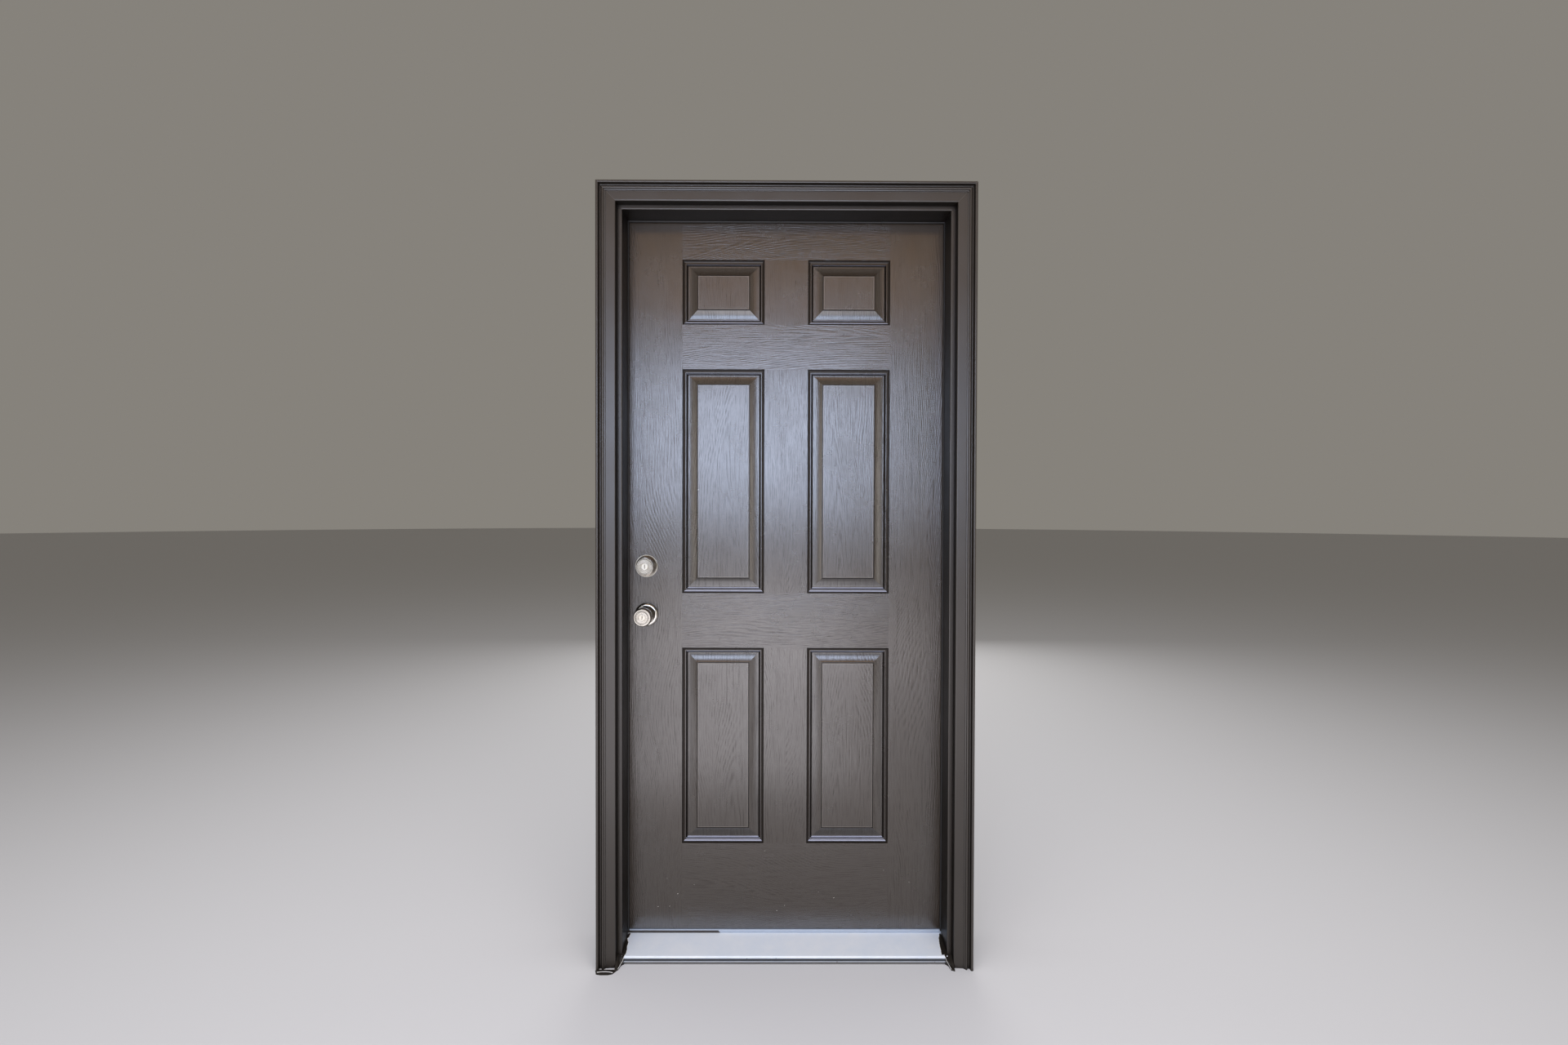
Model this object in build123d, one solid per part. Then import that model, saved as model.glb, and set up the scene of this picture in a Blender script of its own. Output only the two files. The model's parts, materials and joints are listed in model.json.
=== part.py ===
from build123d import *
from math import sqrt
import os

# A six-panel front door in its own frame: slab, jambs, casing, sill, hinges and two locks.
# Millimetres. X to the right as seen from the street, Y into the house, Z up.
# The origin lies on the underside of the sill, midway between the jambs, below the street face of the slab.

# The slab
slab_width = 908.0
slab_height = 2013.0
slab_thick = 44.5
door_gap = 3.0  # all round, between slab and rabbet
skin_thick = 2.0
stile_timber = 38.0  # width of the timber inside each long edge
top_timber = 38.0
bottom_timber = 50.0
lock_block_width = 105.0
lock_block_height = 400.0

# The panel layout on both faces
stile_face = 161.2
mullion_face = 122.6
top_rail_face = 114.0
upper_panel = 181.8
frieze_rail_face = 126.0
lock_rail_face = 155.6
lower_panel = 557.8
bottom_rail_face = 244.8

# The moulding round each panel, as distances in from its outline and depths below the face
quirk_in = 0.7
quirk_deep = 2.4
ovolo_in = 7.2
ovolo_deep = 5.8
fillet_in = 10.0
step_in = 10.8
step_deep = 9.0
bead_in = 14.6
bead_rise = 1.8  # from the step up to the bead's crown
bead_deep = 10.2
bevel_start = 17.6
bevel_end = 41.4
bevel_high = 3.8
crease_deep = 5.2
field_in = 44.4
field_deep = 2.0

# Jambs and their stops
jamb_depth = 116.0
jamb_back = 19.0  # timber left behind the rabbet
stop_proud = 12.7
seal_gap = 8.0  # from the stop to the slab
ease = 2.5  # rounded corners of the stop
tongue = 9.5  # side jamb left standing outside the head jamb
kerf_width = 3.0
kerf_depth = 10.0
kerf_from_rabbet = 1.8

# Casing on the street side
mould_width = 50.8
mould_thick = 31.75
mould_reveal = 12.3  # jamb edge left bare beside it
mould_flat = 25.8
mould_inner = 21.0
mould_nose = 7.6
mould_fillet = 4.2
mould_bead = 5.4
mould_ease = 3.4
mould_soft = 2.6

# Sill
nose_proud = 8.5  # sill nose in front of the jambs
nose_height = 22.0
nose_round = 6.0
deck_high = 33.0
metal = 2.0
cap_front = -3.0
cap_width = 42.0
cap_top = 41.0
cap_wall = 4.0
channel_floor = 22.0
cap_fit = 0.4
lip_low = 6.4
lip_high = 8.8
groove_high = 11.2
groove_deep = 1.6
lip_round = 0.9

# Sweep and seals
sweep_thick = 2.7
sweep_inset = 4.0
sweep_fin = 1.1
sweep_leg = 8.0
seal_clear = 0.3
seal_proud = 2.8  # how far a seal bulges past the stop's face
pad_thick = 1.5
pad_length = 20.0
pad_height = 50.0

# Butt hinges
hinge_height = 101.6
hinge_drop = 178.0  # slab top to the top hinge
hinge_rise = 279.0  # slab bottom to the bottom hinge
leaf_thick = 2.5
leaf_width = 36.5
barrel_radius = 7.0
barrel_stand = 7.5  # pin's centre in front of the room face
pin_radius = 4.0
pin_clear = 0.05
knuckles = 5
knuckle_gap = 0.3
pin_head_radius = 6.4
pin_head = 3.2

# Locks
backset = 60.3
knob_height = 897.0  # above the slab's bottom
lock_spacing = 138.0
cross_bore = 27.0
edge_bore = 12.7
case_radius = 12.0
case_bore = 10.6
case_past = 14.0
face_width = 25.4
face_height = 57.15
face_thick = 2.5
face_corner = 5.0
latch_throw = 12.7
bolt_throw = 25.4
slide_clear = 0.3
latch_wide = 12.0
latch_high = 16.0
bolt_wide = 13.0
bolt_high = 16.0
bolt_long = 30.0
spindle_side = 7.6
spindle_socket = 12.0
flange_radius = 26.4
flange_deep = 8.0
lock_bolt_offset = 20.0
shank_radius = 13.0
shank_clear = 0.2
plug_radius = 9.4
plug_clear = 0.08
plug_long = 27.0
keyway_wide = 1.8
keyway_high = 11.0
keyway_deep = 12.0
knob_reach = 57.6  # slab face to the knob's front
knob_long = 36.0  # swelling part of the knob
knob_radius = 25.6
knob_face = 23.2  # radius at the rim of its front
ring_at = 3.8  # sunk ring, in from the rim
ring_wide = 3.8
ring_deep = 1.8
shank_low = 3.0  # shank's end, up from the foot of the flange
rose_radius = 33.35
rose_high = 8.0
rose_rim = 1.8
rose_flat = 24.6  # radius of the raised middle of the rose
rose_collar = 2.6
collar_radius = 32.5
collar_rim = 3.4  # flat ring round the foot of the tapered part
collar_base = 2.6
collar_reach = 26.0
collar_front = 22.6
cylinder_radius = 20.6
cylinder_proud = 0.8  # in front of the collar
thumb_rose_radius = 31.75
thumb_rose_high = 12.0
thumb_rose_round = 6.0
thumb_shaft = 7.0
thumb_long = 38.0
thumb_wide = 10.0
thumb_reach = 30.0
tail_wide = 6.0
tail_thick = 2.0
tail_seat = 6.0  # how far the tailpiece enters the thumbturn
thumb_foot = 1.0
button_radius = 6.0
button_grip = 5.0
small_edge = 0.7  # small chamfers and rounded edges of the locks

# Strikes
strike_thick = 2.0
latch_strike_height = 57.0
bolt_strike_height = 70.0
strike_width = 28.0
strike_lip = 3.0
strike_lip_height = 32.0
strike_clear = 1.0
latch_pocket = 14.0

# Screws
screw_radius = 2.2
screw_head = 4.5
hinge_screw = 27.0
short_screw = 17.0
frame_screw = 55.0
cap_screw_inset = 60.0
cap_screws_count = 4

# Where things stand, worked out from the sizes above
slab_low = cap_top + seal_clear + sweep_thick
slab_high = slab_low + slab_height
slab_half = slab_width / 2
slab_middle = slab_thick / 2
rabbet_half = slab_half + door_gap
rabbet_top = slab_high + door_gap
open_half = rabbet_half - stop_proud
open_top = rabbet_top - stop_proud
jamb_thick = stop_proud + jamb_back
jamb_half = rabbet_half + jamb_back
jamb_top = rabbet_top + jamb_back
jamb_front = slab_thick - jamb_depth
nose_front = jamb_front - nose_proud
cap_rear = cap_front + cap_width
pin_x = slab_half + door_gap / 2
pin_y = slab_thick + barrel_stand
lock_x = backset - slab_half
knob_z = slab_low + knob_height
deadbolt_z = knob_z + lock_spacing
high_hinge = slab_high - hinge_drop - hinge_height / 2
low_hinge = slab_low + hinge_rise + hinge_height / 2
hinge_places = {"top": high_hinge, "middle": (high_hinge + low_hinge) / 2, "bottom": low_hinge}

panel_width = (slab_width - 2 * stile_face - mullion_face) / 2
column_x = (mullion_face + panel_width) / 2
lower_base = slab_low + bottom_rail_face
middle_base = lower_base + lower_panel + lock_rail_face
upper_base = slab_high - top_rail_face - upper_panel
middle_panel = upper_base - frieze_rail_face - middle_base
panel_rows = [(lower_base, lower_panel), (middle_base, middle_panel), (upper_base, upper_panel)]

os.makedirs("parts", exist_ok=True)


def block(x, y, z):
    """A box between two limits along each of X, Y and Z."""
    low, high = zip(x, y, z)
    size = [b - a for a, b in zip(low, high)]
    middle = [(a + b) / 2 for a, b in zip(low, high)]
    return Pos(*middle) * Box(*size)


def rod(start, direction, radius, length):
    """A cylinder that starts at a point and runs along a direction."""
    place = Plane(origin=start, z_dir=direction)
    return place * Cylinder(radius, length, align=(Align.CENTER, Align.CENTER, Align.MIN))


def bend(x, y):
    """Marks a point that the next edge of a section passes as an arc."""
    return ("bend", x, y)


def section(*stops):
    """A closed face through the given corners, with arcs where a bend stands between two corners."""
    edges, last, through = [], stops[0], None
    for stop in [*stops[1:], stops[0]]:
        if stop[0] == "bend":
            through = stop[1:]
            continue
        if through:
            edges.append(ThreePointArc(last, through, stop))
        else:
            edges.append(Line(last, stop))
        last, through = stop, None
    return make_face(Wire(edges))


def turned(*stops):
    """A solid of revolution about Z from a half section of radius and height."""
    return revolve(Plane.XZ * section(*stops), Axis.Z)


def mirrored(shape):
    """The same piece on the other side of the door's centre line."""
    return mirror(shape, Plane.YZ)


def upright(face, low, high):
    """A section in X and Y pulled up between two heights."""
    return extrude(Pos(0, 0, low) * face, high - low)


def across(face, half):
    """A section in Y and Z pulled along X to both sides of the centre."""
    return extrude(Plane.YZ.offset(-half) * face, 2 * half)


def overhead(face, base, half):
    """A side member's section turned to run across the head, with its first axis upwards from base."""
    place = Plane(origin=(half, 0, base), x_dir=(0, 0, 1), z_dir=(-1, 0, 0))
    return extrude(place * face, 2 * half)


def screw(start, direction, length, head=screw_head):
    """A countersunk screw whose head is flush with the surface at its start."""
    sink = head - screw_radius
    place = Plane(origin=start, z_dir=direction)
    return place * turned((0, 0), (head, 0), (screw_radius, sink), (screw_radius, length), (0, length))


def together(shapes):
    """One shape from several."""
    shapes = list(shapes)
    whole = shapes[0]
    for shape in shapes[1:]:
        whole += shape
    return whole


# Screws come first, because every piece that they pass through is cut by them.

def hinge_screw_spots():
    """Depth and height of the four staggered holes in a hinge leaf."""
    rows = (hinge_height / 8, hinge_height * 3 / 8)
    outer, inner = slab_thick - leaf_width / 3, slab_thick - leaf_width * 2 / 3
    return [(outer, rows[1]), (inner, rows[0]), (inner, -rows[0]), (outer, -rows[1])]


def hinge_screws(face_x, direction, length):
    """All twelve screws of one side of the three hinges."""
    spots = [(y, base + z) for base in hinge_places.values() for y, z in hinge_screw_spots()]
    return together(screw((face_x, y, z), (direction, 0, 0), length) for y, z in spots)


def pair_of_screws(x, y, z, apart, direction, length):
    """Two screws one above the other in an edge plate."""
    return together(screw((x, y, z + side * apart), (direction, 0, 0), length) for side in (-1, 1))


door_hinge_screws = hinge_screws(slab_half, -1, hinge_screw)
jamb_hinge_screws = hinge_screws(rabbet_half, 1, short_screw)
face_screw_apart = face_height / 2 - 1.6 * screw_head
face_screws = together(
    pair_of_screws(-slab_half, slab_middle, z, face_screw_apart, 1, short_screw)
    for z in (knob_z, deadbolt_z)
)
latch_strike_apart = latch_strike_height / 2 - 1.6 * screw_head
bolt_strike_apart = bolt_strike_height / 2 - 1.6 * screw_head
strike_screws = pair_of_screws(
    -rabbet_half, slab_middle, knob_z, latch_strike_apart, -1, short_screw
) + pair_of_screws(-rabbet_half, slab_middle, deadbolt_z, bolt_strike_apart, -1, short_screw)

sill_screw_z = channel_floor / 2 - 1
head_screw_z = jamb_top - jamb_back / 2
frame_screw_y = (jamb_front + jamb_depth / 4, slab_thick - jamb_depth / 5)
frame_screws = together(
    screw((side * jamb_half, y, z), (-side, 0, 0), frame_screw)
    for side in (-1, 1)
    for y in frame_screw_y
    for z in (sill_screw_z, head_screw_z)
)
cap_middle = (cap_front + cap_rear) / 2
cap_screw_span = 2 * (rabbet_half - cap_screw_inset)
cap_screw_places = [cap_screw_span * (i / (cap_screws_count - 1) - 0.5) for i in range(cap_screws_count)]
cap_screws = together(
    screw((x, cap_middle, cap_top), (0, 0, -1), cap_top - metal) for x in cap_screw_places
)


def through_bolts(z, stand):
    """The two long screws that clamp a lock, with their heads flush in the cover on the room side."""
    start_y = slab_thick + stand
    heights = (z - lock_bolt_offset, z + lock_bolt_offset)
    return together(screw((lock_x, start_y, high), (0, -1, 0), start_y - metal) for high in heights)


lock_bolts = through_bolts(knob_z, rose_high) + through_bolts(deadbolt_z, thumb_rose_high)
lock_screws = face_screws + lock_bolts


# The frame

def jamb_section():
    """Rabbeted jamb, measured outward from the stop's face."""
    soft = ease * (1 - 1 / sqrt(2))
    return section(
        (ease, jamb_front), (jamb_thick, jamb_front), (jamb_thick, slab_thick), (stop_proud, slab_thick),
        (stop_proud, -seal_gap), (ease, -seal_gap), bend(soft, -seal_gap - soft), (0, -seal_gap - ease),
        (0, jamb_front + ease), bend(soft, jamb_front + soft),
    )


def kerf_section():
    """The slot in the stop that holds the seal's leg."""
    middle = stop_proud - kerf_from_rabbet - kerf_width / 2
    return Pos(middle, -seal_gap - kerf_depth / 2) * Rectangle(kerf_width, kerf_depth)


def latch_pocket_cut(z, wide, high, deep):
    """The hole that a bolt enters, in the strike and in the jamb behind it."""
    y = (slab_middle - wide / 2 - strike_clear, slab_middle + wide / 2 + strike_clear)
    z_span = (z - high / 2 - strike_clear, z + high / 2 + strike_clear)
    return block((-rabbet_half - deep, -rabbet_half), y, z_span)


def strike_plate(z, height, lip):
    """A flat plate let into the jamb, with or without a lip that leads the latch in."""
    x = (-rabbet_half - strike_thick, -rabbet_half)
    y = (slab_middle - strike_width / 2, slab_middle + strike_width / 2)
    plate = block(x, y, (z - height / 2, z + height / 2))
    plate = fillet(plate.edges().filter_by(Axis.X), face_corner)
    if lip:
        reach = slab_thick + strike_lip
        plate += block(x, (slab_middle, reach), (z - strike_lip_height / 2, z + strike_lip_height / 2))
    return plate


latch_hole = latch_pocket_cut(knob_z, latch_wide, latch_high, latch_pocket)
bolt_hole = latch_pocket_cut(deadbolt_z, bolt_wide, bolt_high, jamb_back + 1)
latch_strike_blank = strike_plate(knob_z, latch_strike_height, True)
bolt_strike_blank = strike_plate(deadbolt_z, bolt_strike_height, False)
latch_strike = latch_strike_blank - latch_hole - strike_screws
deadbolt_strike = bolt_strike_blank - bolt_hole - strike_screws


def hinge_leaf(which):
    """One leaf about its pin at the origin, on the jamb's side: the even or the odd knuckles."""
    side = door_gap / 2
    plate_y = (-barrel_stand - leaf_width, -barrel_stand)
    leaf = block((side, side + leaf_thick), plate_y, (-hinge_height / 2, hinge_height / 2))
    pitch = hinge_height / knuckles
    for i in range(which, knuckles, 2):
        low = -hinge_height / 2 + i * pitch + (knuckle_gap / 2 if i > 0 else 0)
        high = -hinge_height / 2 + (i + 1) * pitch - (knuckle_gap / 2 if i < knuckles - 1 else 0)
        leaf += rod((0, 0, low), (0, 0, 1), barrel_radius, high - low)
        leaf += block((side, side + leaf_thick), (-barrel_stand, 0), (low, high))
    bore_start = (0, 0, -hinge_height)
    return leaf - rod(bore_start, (0, 0, 1), pin_radius + pin_clear, 2 * hinge_height)


def hinge_pin():
    """Loose pin with a button at each end."""
    top, crown = hinge_height / 2, hinge_height / 2 + pin_head
    return turned(
        (0, -crown), (pin_radius, -crown), (pin_head_radius, -crown + pin_head / 2),
        (pin_head_radius, -top), (pin_radius, -top), (pin_radius, top), (pin_head_radius, top),
        (pin_head_radius, top + pin_head / 2), (pin_radius, crown), (0, crown),
    )


def at_hinge(shape, z):
    """A hinge piece moved to its height on the pin's line."""
    return Pos(pin_x, pin_y, z) * shape


jamb_leaf, door_leaf = hinge_leaf(0), mirror(hinge_leaf(1), Plane.YZ)
jamb_leaves = {name: at_hinge(jamb_leaf, z) - jamb_hinge_screws for name, z in hinge_places.items()}
door_leaves = {name: at_hinge(door_leaf, z) - door_hinge_screws for name, z in hinge_places.items()}
hinge_pins = {name: at_hinge(hinge_pin(), z) for name, z in hinge_places.items()}


def leaf_mortises(x, depth_y):
    """Room for the three leaves, let in flush with the timber."""
    return together(
        block(x, depth_y, (z - hinge_height / 2, z + hinge_height / 2)) for z in hinge_places.values()
    )


leaf_y = (slab_thick - leaf_width, slab_thick)
jamb_mortises = leaf_mortises((rabbet_half, rabbet_half + leaf_thick), leaf_y)
door_mortises = leaf_mortises((slab_half - leaf_thick, slab_half), leaf_y)

head_blank = overhead(jamb_section(), open_top, jamb_half - tongue)
side_blank = upright(Pos(open_half, 0) * jamb_section(), 0, jamb_top) - head_blank
side_blank = side_blank - upright(Pos(open_half, 0) * kerf_section(), 0, open_top + ease)
head_jamb = head_blank - overhead(kerf_section(), open_top, jamb_half) - frame_screws
hinge_jamb = side_blank - jamb_mortises - jamb_hinge_screws - frame_screws
strike_jamb = mirrored(side_blank) - latch_strike_blank - bolt_strike_blank
strike_jamb = strike_jamb - latch_hole - bolt_hole - strike_screws - frame_screws


def casing_section():
    """Street-side casing, from its edge beside the jamb outward: flat, two fillets, bead, cove and nose."""
    nose_in, bead_start = mould_width - mould_nose, mould_flat + mould_fillet
    bead_end = bead_start + mould_bead
    face, front = -mould_inner, -mould_thick
    near, nose_near = mould_ease * (1 - 1 / sqrt(2)), mould_soft * (1 - 1 / sqrt(2))
    return section(
        (0, 0), (0, face + mould_ease), bend(near, face + near), (mould_ease, face),
        (mould_flat, face - 1.0), (mould_flat + 0.8, face - 3.2), (bead_start - 0.8, face - 3.7),
        (bead_start, face - 5.6), bend((bead_start + bead_end) / 2, face - 7.2), (bead_end, face - 5.4),
        bend(nose_in - 4.2, face - 1.8), (nose_in - 0.6, face - 6.2),
        (nose_in, front + mould_soft), bend(nose_in + nose_near, front + nose_near),
        (nose_in + mould_soft, front), (mould_width - mould_ease, front),
        bend(mould_width - near, front + near), (mould_width, front + mould_ease), (mould_width, 0),
    )


mould_half = open_half + mould_reveal
mould_base = open_top + mould_reveal
casing_face = Pos(mould_half, jamb_front) * casing_section()
mitre = Plane(origin=(mould_half, 0, mould_base), z_dir=(-1, 0, 1))
casing_leg = split(upright(casing_face, 0, mould_base + mould_width), mitre, keep=Keep.BOTTOM)
casing_head = overhead(Pos(0, jamb_front) * casing_section(), mould_base, mould_half + mould_width)
casing_head = split(casing_head, mitre, keep=Keep.TOP)
other_mitre = Plane(origin=(-mould_half, 0, mould_base), z_dir=(1, 0, 1))
casing_head = split(casing_head, other_mitre, keep=Keep.TOP)


# The sill

def deck_section():
    """Aluminium tread: nose with a drip groove and lip, sloping deck, and a channel that holds the cap."""
    top, under = nose_height, nose_height - metal
    inner_front, inner_round = nose_front + metal, nose_round - metal
    soft, inner_soft = nose_round * (1 - 1 / sqrt(2)), inner_round * (1 - 1 / sqrt(2))
    lip_middle = (lip_low + lip_high) / 2
    return section(
        (nose_front, lip_low), bend(nose_front - lip_round, lip_middle), (nose_front, lip_high),
        (nose_front + groove_deep, lip_high), (nose_front + groove_deep, groove_high),
        (nose_front, groove_high), (nose_front, top - nose_round),
        bend(nose_front + soft, top - soft), (nose_front + nose_round, top),
        (cap_front - metal, deck_high), (cap_front, deck_high), (cap_front, channel_floor),
        (cap_rear, channel_floor), (cap_rear, deck_high), (cap_rear + metal, deck_high),
        (cap_rear + metal, channel_floor - metal), (cap_front - metal, channel_floor - metal),
        (cap_front - metal, deck_high - metal), (nose_front + nose_round, under),
        bend(inner_front + inner_soft, under - inner_soft), (inner_front, top - nose_round),
        (inner_front, groove_high + metal), (nose_front + groove_deep + metal, groove_high),
        (nose_front + groove_deep + metal, lip_low),
    )


def substrate_section():
    """Composite base that fills the tread from below and reaches back to the room."""
    front = nose_front + groove_deep + metal
    return section(
        (front, 0), (slab_thick, 0), (slab_thick, deck_high), (cap_rear + metal, deck_high),
        (cap_rear + metal, channel_floor - metal), (cap_front - metal, channel_floor - metal),
        (cap_front - metal, deck_high - metal), (nose_front + nose_round, nose_height - metal),
        (front, nose_height - nose_round),
    )


def cap_section():
    """Adjustable cap: a rounded channel, open below, that stands in the tread's channel."""
    front, rear, soft = cap_front + cap_fit, cap_rear - cap_fit, 3.0
    near, under = soft * (1 - 1 / sqrt(2)), cap_top - cap_wall
    return section(
        (front, channel_floor), (front, cap_top - soft), bend(front + near, cap_top - near),
        (front + soft, cap_top), (rear - soft, cap_top), bend(rear - near, cap_top - near),
        (rear, cap_top - soft), (rear, channel_floor), (rear - cap_wall, channel_floor),
        (rear - cap_wall, under), (front + cap_wall, under), (front + cap_wall, channel_floor),
    )


jambs = [upright(Pos(open_half, 0) * jamb_section(), 0, jamb_top)]
jambs.append(mirrored(jambs[0]))
nose_ends = [
    block((side[0], side[1]), (nose_front - mould_thick, jamb_front), (0, deck_high))
    for side in ((open_half, jamb_half), (-jamb_half, -open_half))
]


def between_jambs(shape):
    """A sill member cut round the stops, with its nose no wider than the doorway."""
    for cutter in [*jambs, *nose_ends]:
        shape = shape - cutter
    return max(shape.solids(), key=lambda solid: solid.volume)


sill_deck = between_jambs(across(deck_section(), rabbet_half)) - cap_screws
sill_substrate = between_jambs(across(substrate_section(), rabbet_half)) - frame_screws - cap_screws
threshold_cap = across(cap_section(), rabbet_half) - cap_screws
threshold_cap = max(threshold_cap.solids(), key=lambda solid: solid.volume)


# Seals

def seal_section():
    """Foam seal on the stop, with its barbed leg in the kerf."""
    kerf_out = stop_proud - kerf_from_rabbet
    leg_out, leg_in = kerf_out - seal_clear, kerf_out - kerf_width + seal_clear
    tip, leg_end = -seal_clear, -seal_gap - kerf_depth + seal_clear
    bulb = (seal_gap - seal_clear) / 2
    return section(
        (leg_in, -seal_gap), (bulb - seal_proud, -seal_gap), bend(-seal_proud, tip - bulb),
        (bulb - seal_proud, tip),
        (stop_proud - seal_clear, tip), (stop_proud - seal_clear, -seal_gap), (leg_out, -seal_gap),
        (leg_out, leg_end), (leg_in, leg_end),
    )


seal_side = upright(Pos(open_half, 0) * seal_section(), cap_top, rabbet_top - seal_clear) - head_blank
seal_head = overhead(seal_section(), open_top, rabbet_half - seal_clear) - seal_side - mirrored(seal_side)
seal_head = max(seal_head.solids(), key=lambda solid: solid.volume)
pad_x = (rabbet_half - pad_thick, rabbet_half)
corner_pad = block(pad_x, (-seal_clear, pad_length), (cap_top, cap_top + pad_height))


# The slab

def relief_bar(length):
    """The moulding's cut along one side of a panel, mitred at both ends, with the outline on X."""
    start = Plane(origin=(length / 2, 0, 0), x_dir=(0, 0, 1), z_dir=(-1, 0, 0))
    bar = extrude(start * relief_section(), length)
    half, inner = length / 2, length / 2 - field_in
    corners = [(-half, 0), (half, 0), (inner, field_in), (-inner, field_in)]
    wedge = extrude(Plane.XZ * make_face(Polyline(*corners, close=True)), slab_thick, both=True)
    return bar & wedge


def panel_relief(height):
    """All that is taken out of the face for one panel, with the middle of its foot at the origin."""
    across_bar, up_bar = relief_bar(panel_width), relief_bar(height)
    return together([
        across_bar,
        Pos(0, 0, height) * Rot(0, 180, 0) * across_bar,
        Pos(-panel_width / 2, 0, height / 2) * Rot(0, 90, 0) * up_bar,
        Pos(panel_width / 2, 0, height / 2) * Rot(0, -90, 0) * up_bar,
        panel_box(0, 0, height, field_in, -1.0, field_deep),
    ])


def relief_section():
    """What the moulding takes out of the face: quirk, ovolo, fillet, bead, groove, bevel and crease."""
    above = -1.0
    return section(
        (0, above), (0, 0), (quirk_in, quirk_deep),
        bend((quirk_in + ovolo_in) / 2 + 1.1, (quirk_deep + ovolo_deep) / 2 - 1.0), (ovolo_in, ovolo_deep),
        (fillet_in, ovolo_deep), (step_in, step_deep),
        bend((step_in + bead_in) / 2, step_deep - bead_rise), (bead_in, step_deep),
        (bead_in + quirk_in, bead_deep), (bevel_start, bead_deep), (bevel_end, bevel_high),
        (bevel_end + quirk_in, crease_deep), (field_in - quirk_in, crease_deep),
        (field_in, field_deep), (field_in, above),
    )


def panel_box(x, z, height, inset, near, far):
    """A box inside a panel's outline between two depths."""
    half = panel_width / 2 - inset
    return block((x - half, x + half), (near, far), (z + inset, z + height - inset))


def tapered(x, z, height, inset, near, far, shrink):
    """A block inside a panel's outline whose sides lean in by shrink from one depth to the next."""
    base = Plane(origin=(x, near, z + height / 2), x_dir=(1, 0, 0), z_dir=(0, 1, 0))
    tip = Plane(origin=(x, far, z + height / 2), x_dir=(1, 0, 0), z_dir=(0, 1, 0))
    wide, high = panel_width - 2 * inset, height - 2 * inset
    faces = [base * Rectangle(wide, high), tip * Rectangle(wide - 2 * shrink, high - 2 * shrink)]
    return loft(faces)


pan_deep = bead_deep + skin_thick
panels = [(side * column_x, z, height) for side in (-1, 1) for z, height in panel_rows]


def pan_back(x, z, height):
    """The back of a moulded panel inside the slab: a tray with a raised middle."""
    tray = tapered(x, z, height, -skin_thick, skin_thick, pan_deep, step_in)
    roof = crease_deep + skin_thick
    lean = (pan_deep - roof) * (bevel_end - bevel_start) / (bead_deep - bevel_high)
    hollow = tapered(x, z, height, bevel_start + skin_thick, pan_deep, roof, lean)
    under_field = panel_box(x, z, height, field_in + skin_thick, field_deep + skin_thick, roof)
    return tray - hollow - under_field


backs = together(pan_back(*panel) for panel in panels)
relief = {height: panel_relief(height) for _, height in panel_rows}

skin = block((-slab_half, slab_half), (0, skin_thick), (slab_low, slab_high)) + backs
for x, z, height in panels:
    skin = skin - Pos(x, 0, z) * relief[height]

room_side = Plane(origin=(0, slab_middle, 0), z_dir=(0, 1, 0))
inner_y = (skin_thick, slab_thick - skin_thick)
slab_z = (slab_low, slab_high)
past_y = (-slab_thick, 2 * slab_thick)


def cross_bores():
    """The two large holes through the slab for the locks."""
    return together(
        rod((lock_x, past_y[0], z), (0, 1, 0), cross_bore, past_y[1] - past_y[0])
        for z in (knob_z, deadbolt_z)
    )


def edge_bores():
    """The two bores from the slab's edge into the cross bores, and the rebates for the face plates."""
    cuts = []
    for z in (knob_z, deadbolt_z):
        cuts.append(rod((-slab_half, slab_middle, z), (1, 0, 0), edge_bore, backset))
        cuts.append(face_plate(z))
    return together(cuts)


def face_plate(z):
    """The plate of a latch or bolt in the slab's edge."""
    plate = block(
        (-slab_half, -slab_half + face_thick),
        (slab_middle - face_width / 2, slab_middle + face_width / 2),
        (z - face_height / 2, z + face_height / 2),
    )
    return fillet(plate.edges().filter_by(Axis.X), face_corner)


bores, edges = cross_bores(), edge_bores()
exterior_skin = skin - bores
interior_skin = mirror(skin, room_side) - bores - door_mortises

stile_in = slab_half - stile_timber
lock_stile = block((-slab_half, -stile_in), inner_y, slab_z) - bores - edges - face_screws
hinge_stile = block((stile_in, slab_half), inner_y, slab_z) - door_mortises - door_hinge_screws

leg_wide = kerf_width - 2 * seal_clear
leg_places = (slab_middle - slab_thick / 5, slab_middle + slab_thick / 5)


def sweep_section():
    """Vinyl sweep: a plate with fins below and two legs that press into the bottom rail."""
    base, tip = slab_low - sweep_thick + sweep_fin, slab_low - sweep_thick
    front, rear, count = sweep_inset, slab_thick - sweep_inset, 5
    pitch = (rear - front) / count
    fins = []
    for i in range(count):
        fins += [(front + i * pitch, base), (front + (i + 0.5) * pitch, tip)]
    stops = [*fins, (rear, base), (rear, slab_low), (front, slab_low)]
    face = section(*stops)
    for y in leg_places:
        face += Pos(y, slab_low + sweep_leg / 2) * Rectangle(leg_wide, sweep_leg)
    return face


kerf_z = (slab_low, slab_low + kerf_depth)
rail_kerfs = together(
    block((-slab_half, slab_half), (y - kerf_width / 2, y + kerf_width / 2), kerf_z) for y in leg_places
)
bottom_rail = block((-stile_in, stile_in), inner_y, (slab_low, slab_low + bottom_timber)) - rail_kerfs
lock_stile = lock_stile - rail_kerfs
hinge_stile = hinge_stile - rail_kerfs
top_rail = block((-stile_in, stile_in), inner_y, (slab_high - top_timber, slab_high))
door_sweep = across(sweep_section(), slab_half - seal_clear)

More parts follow.
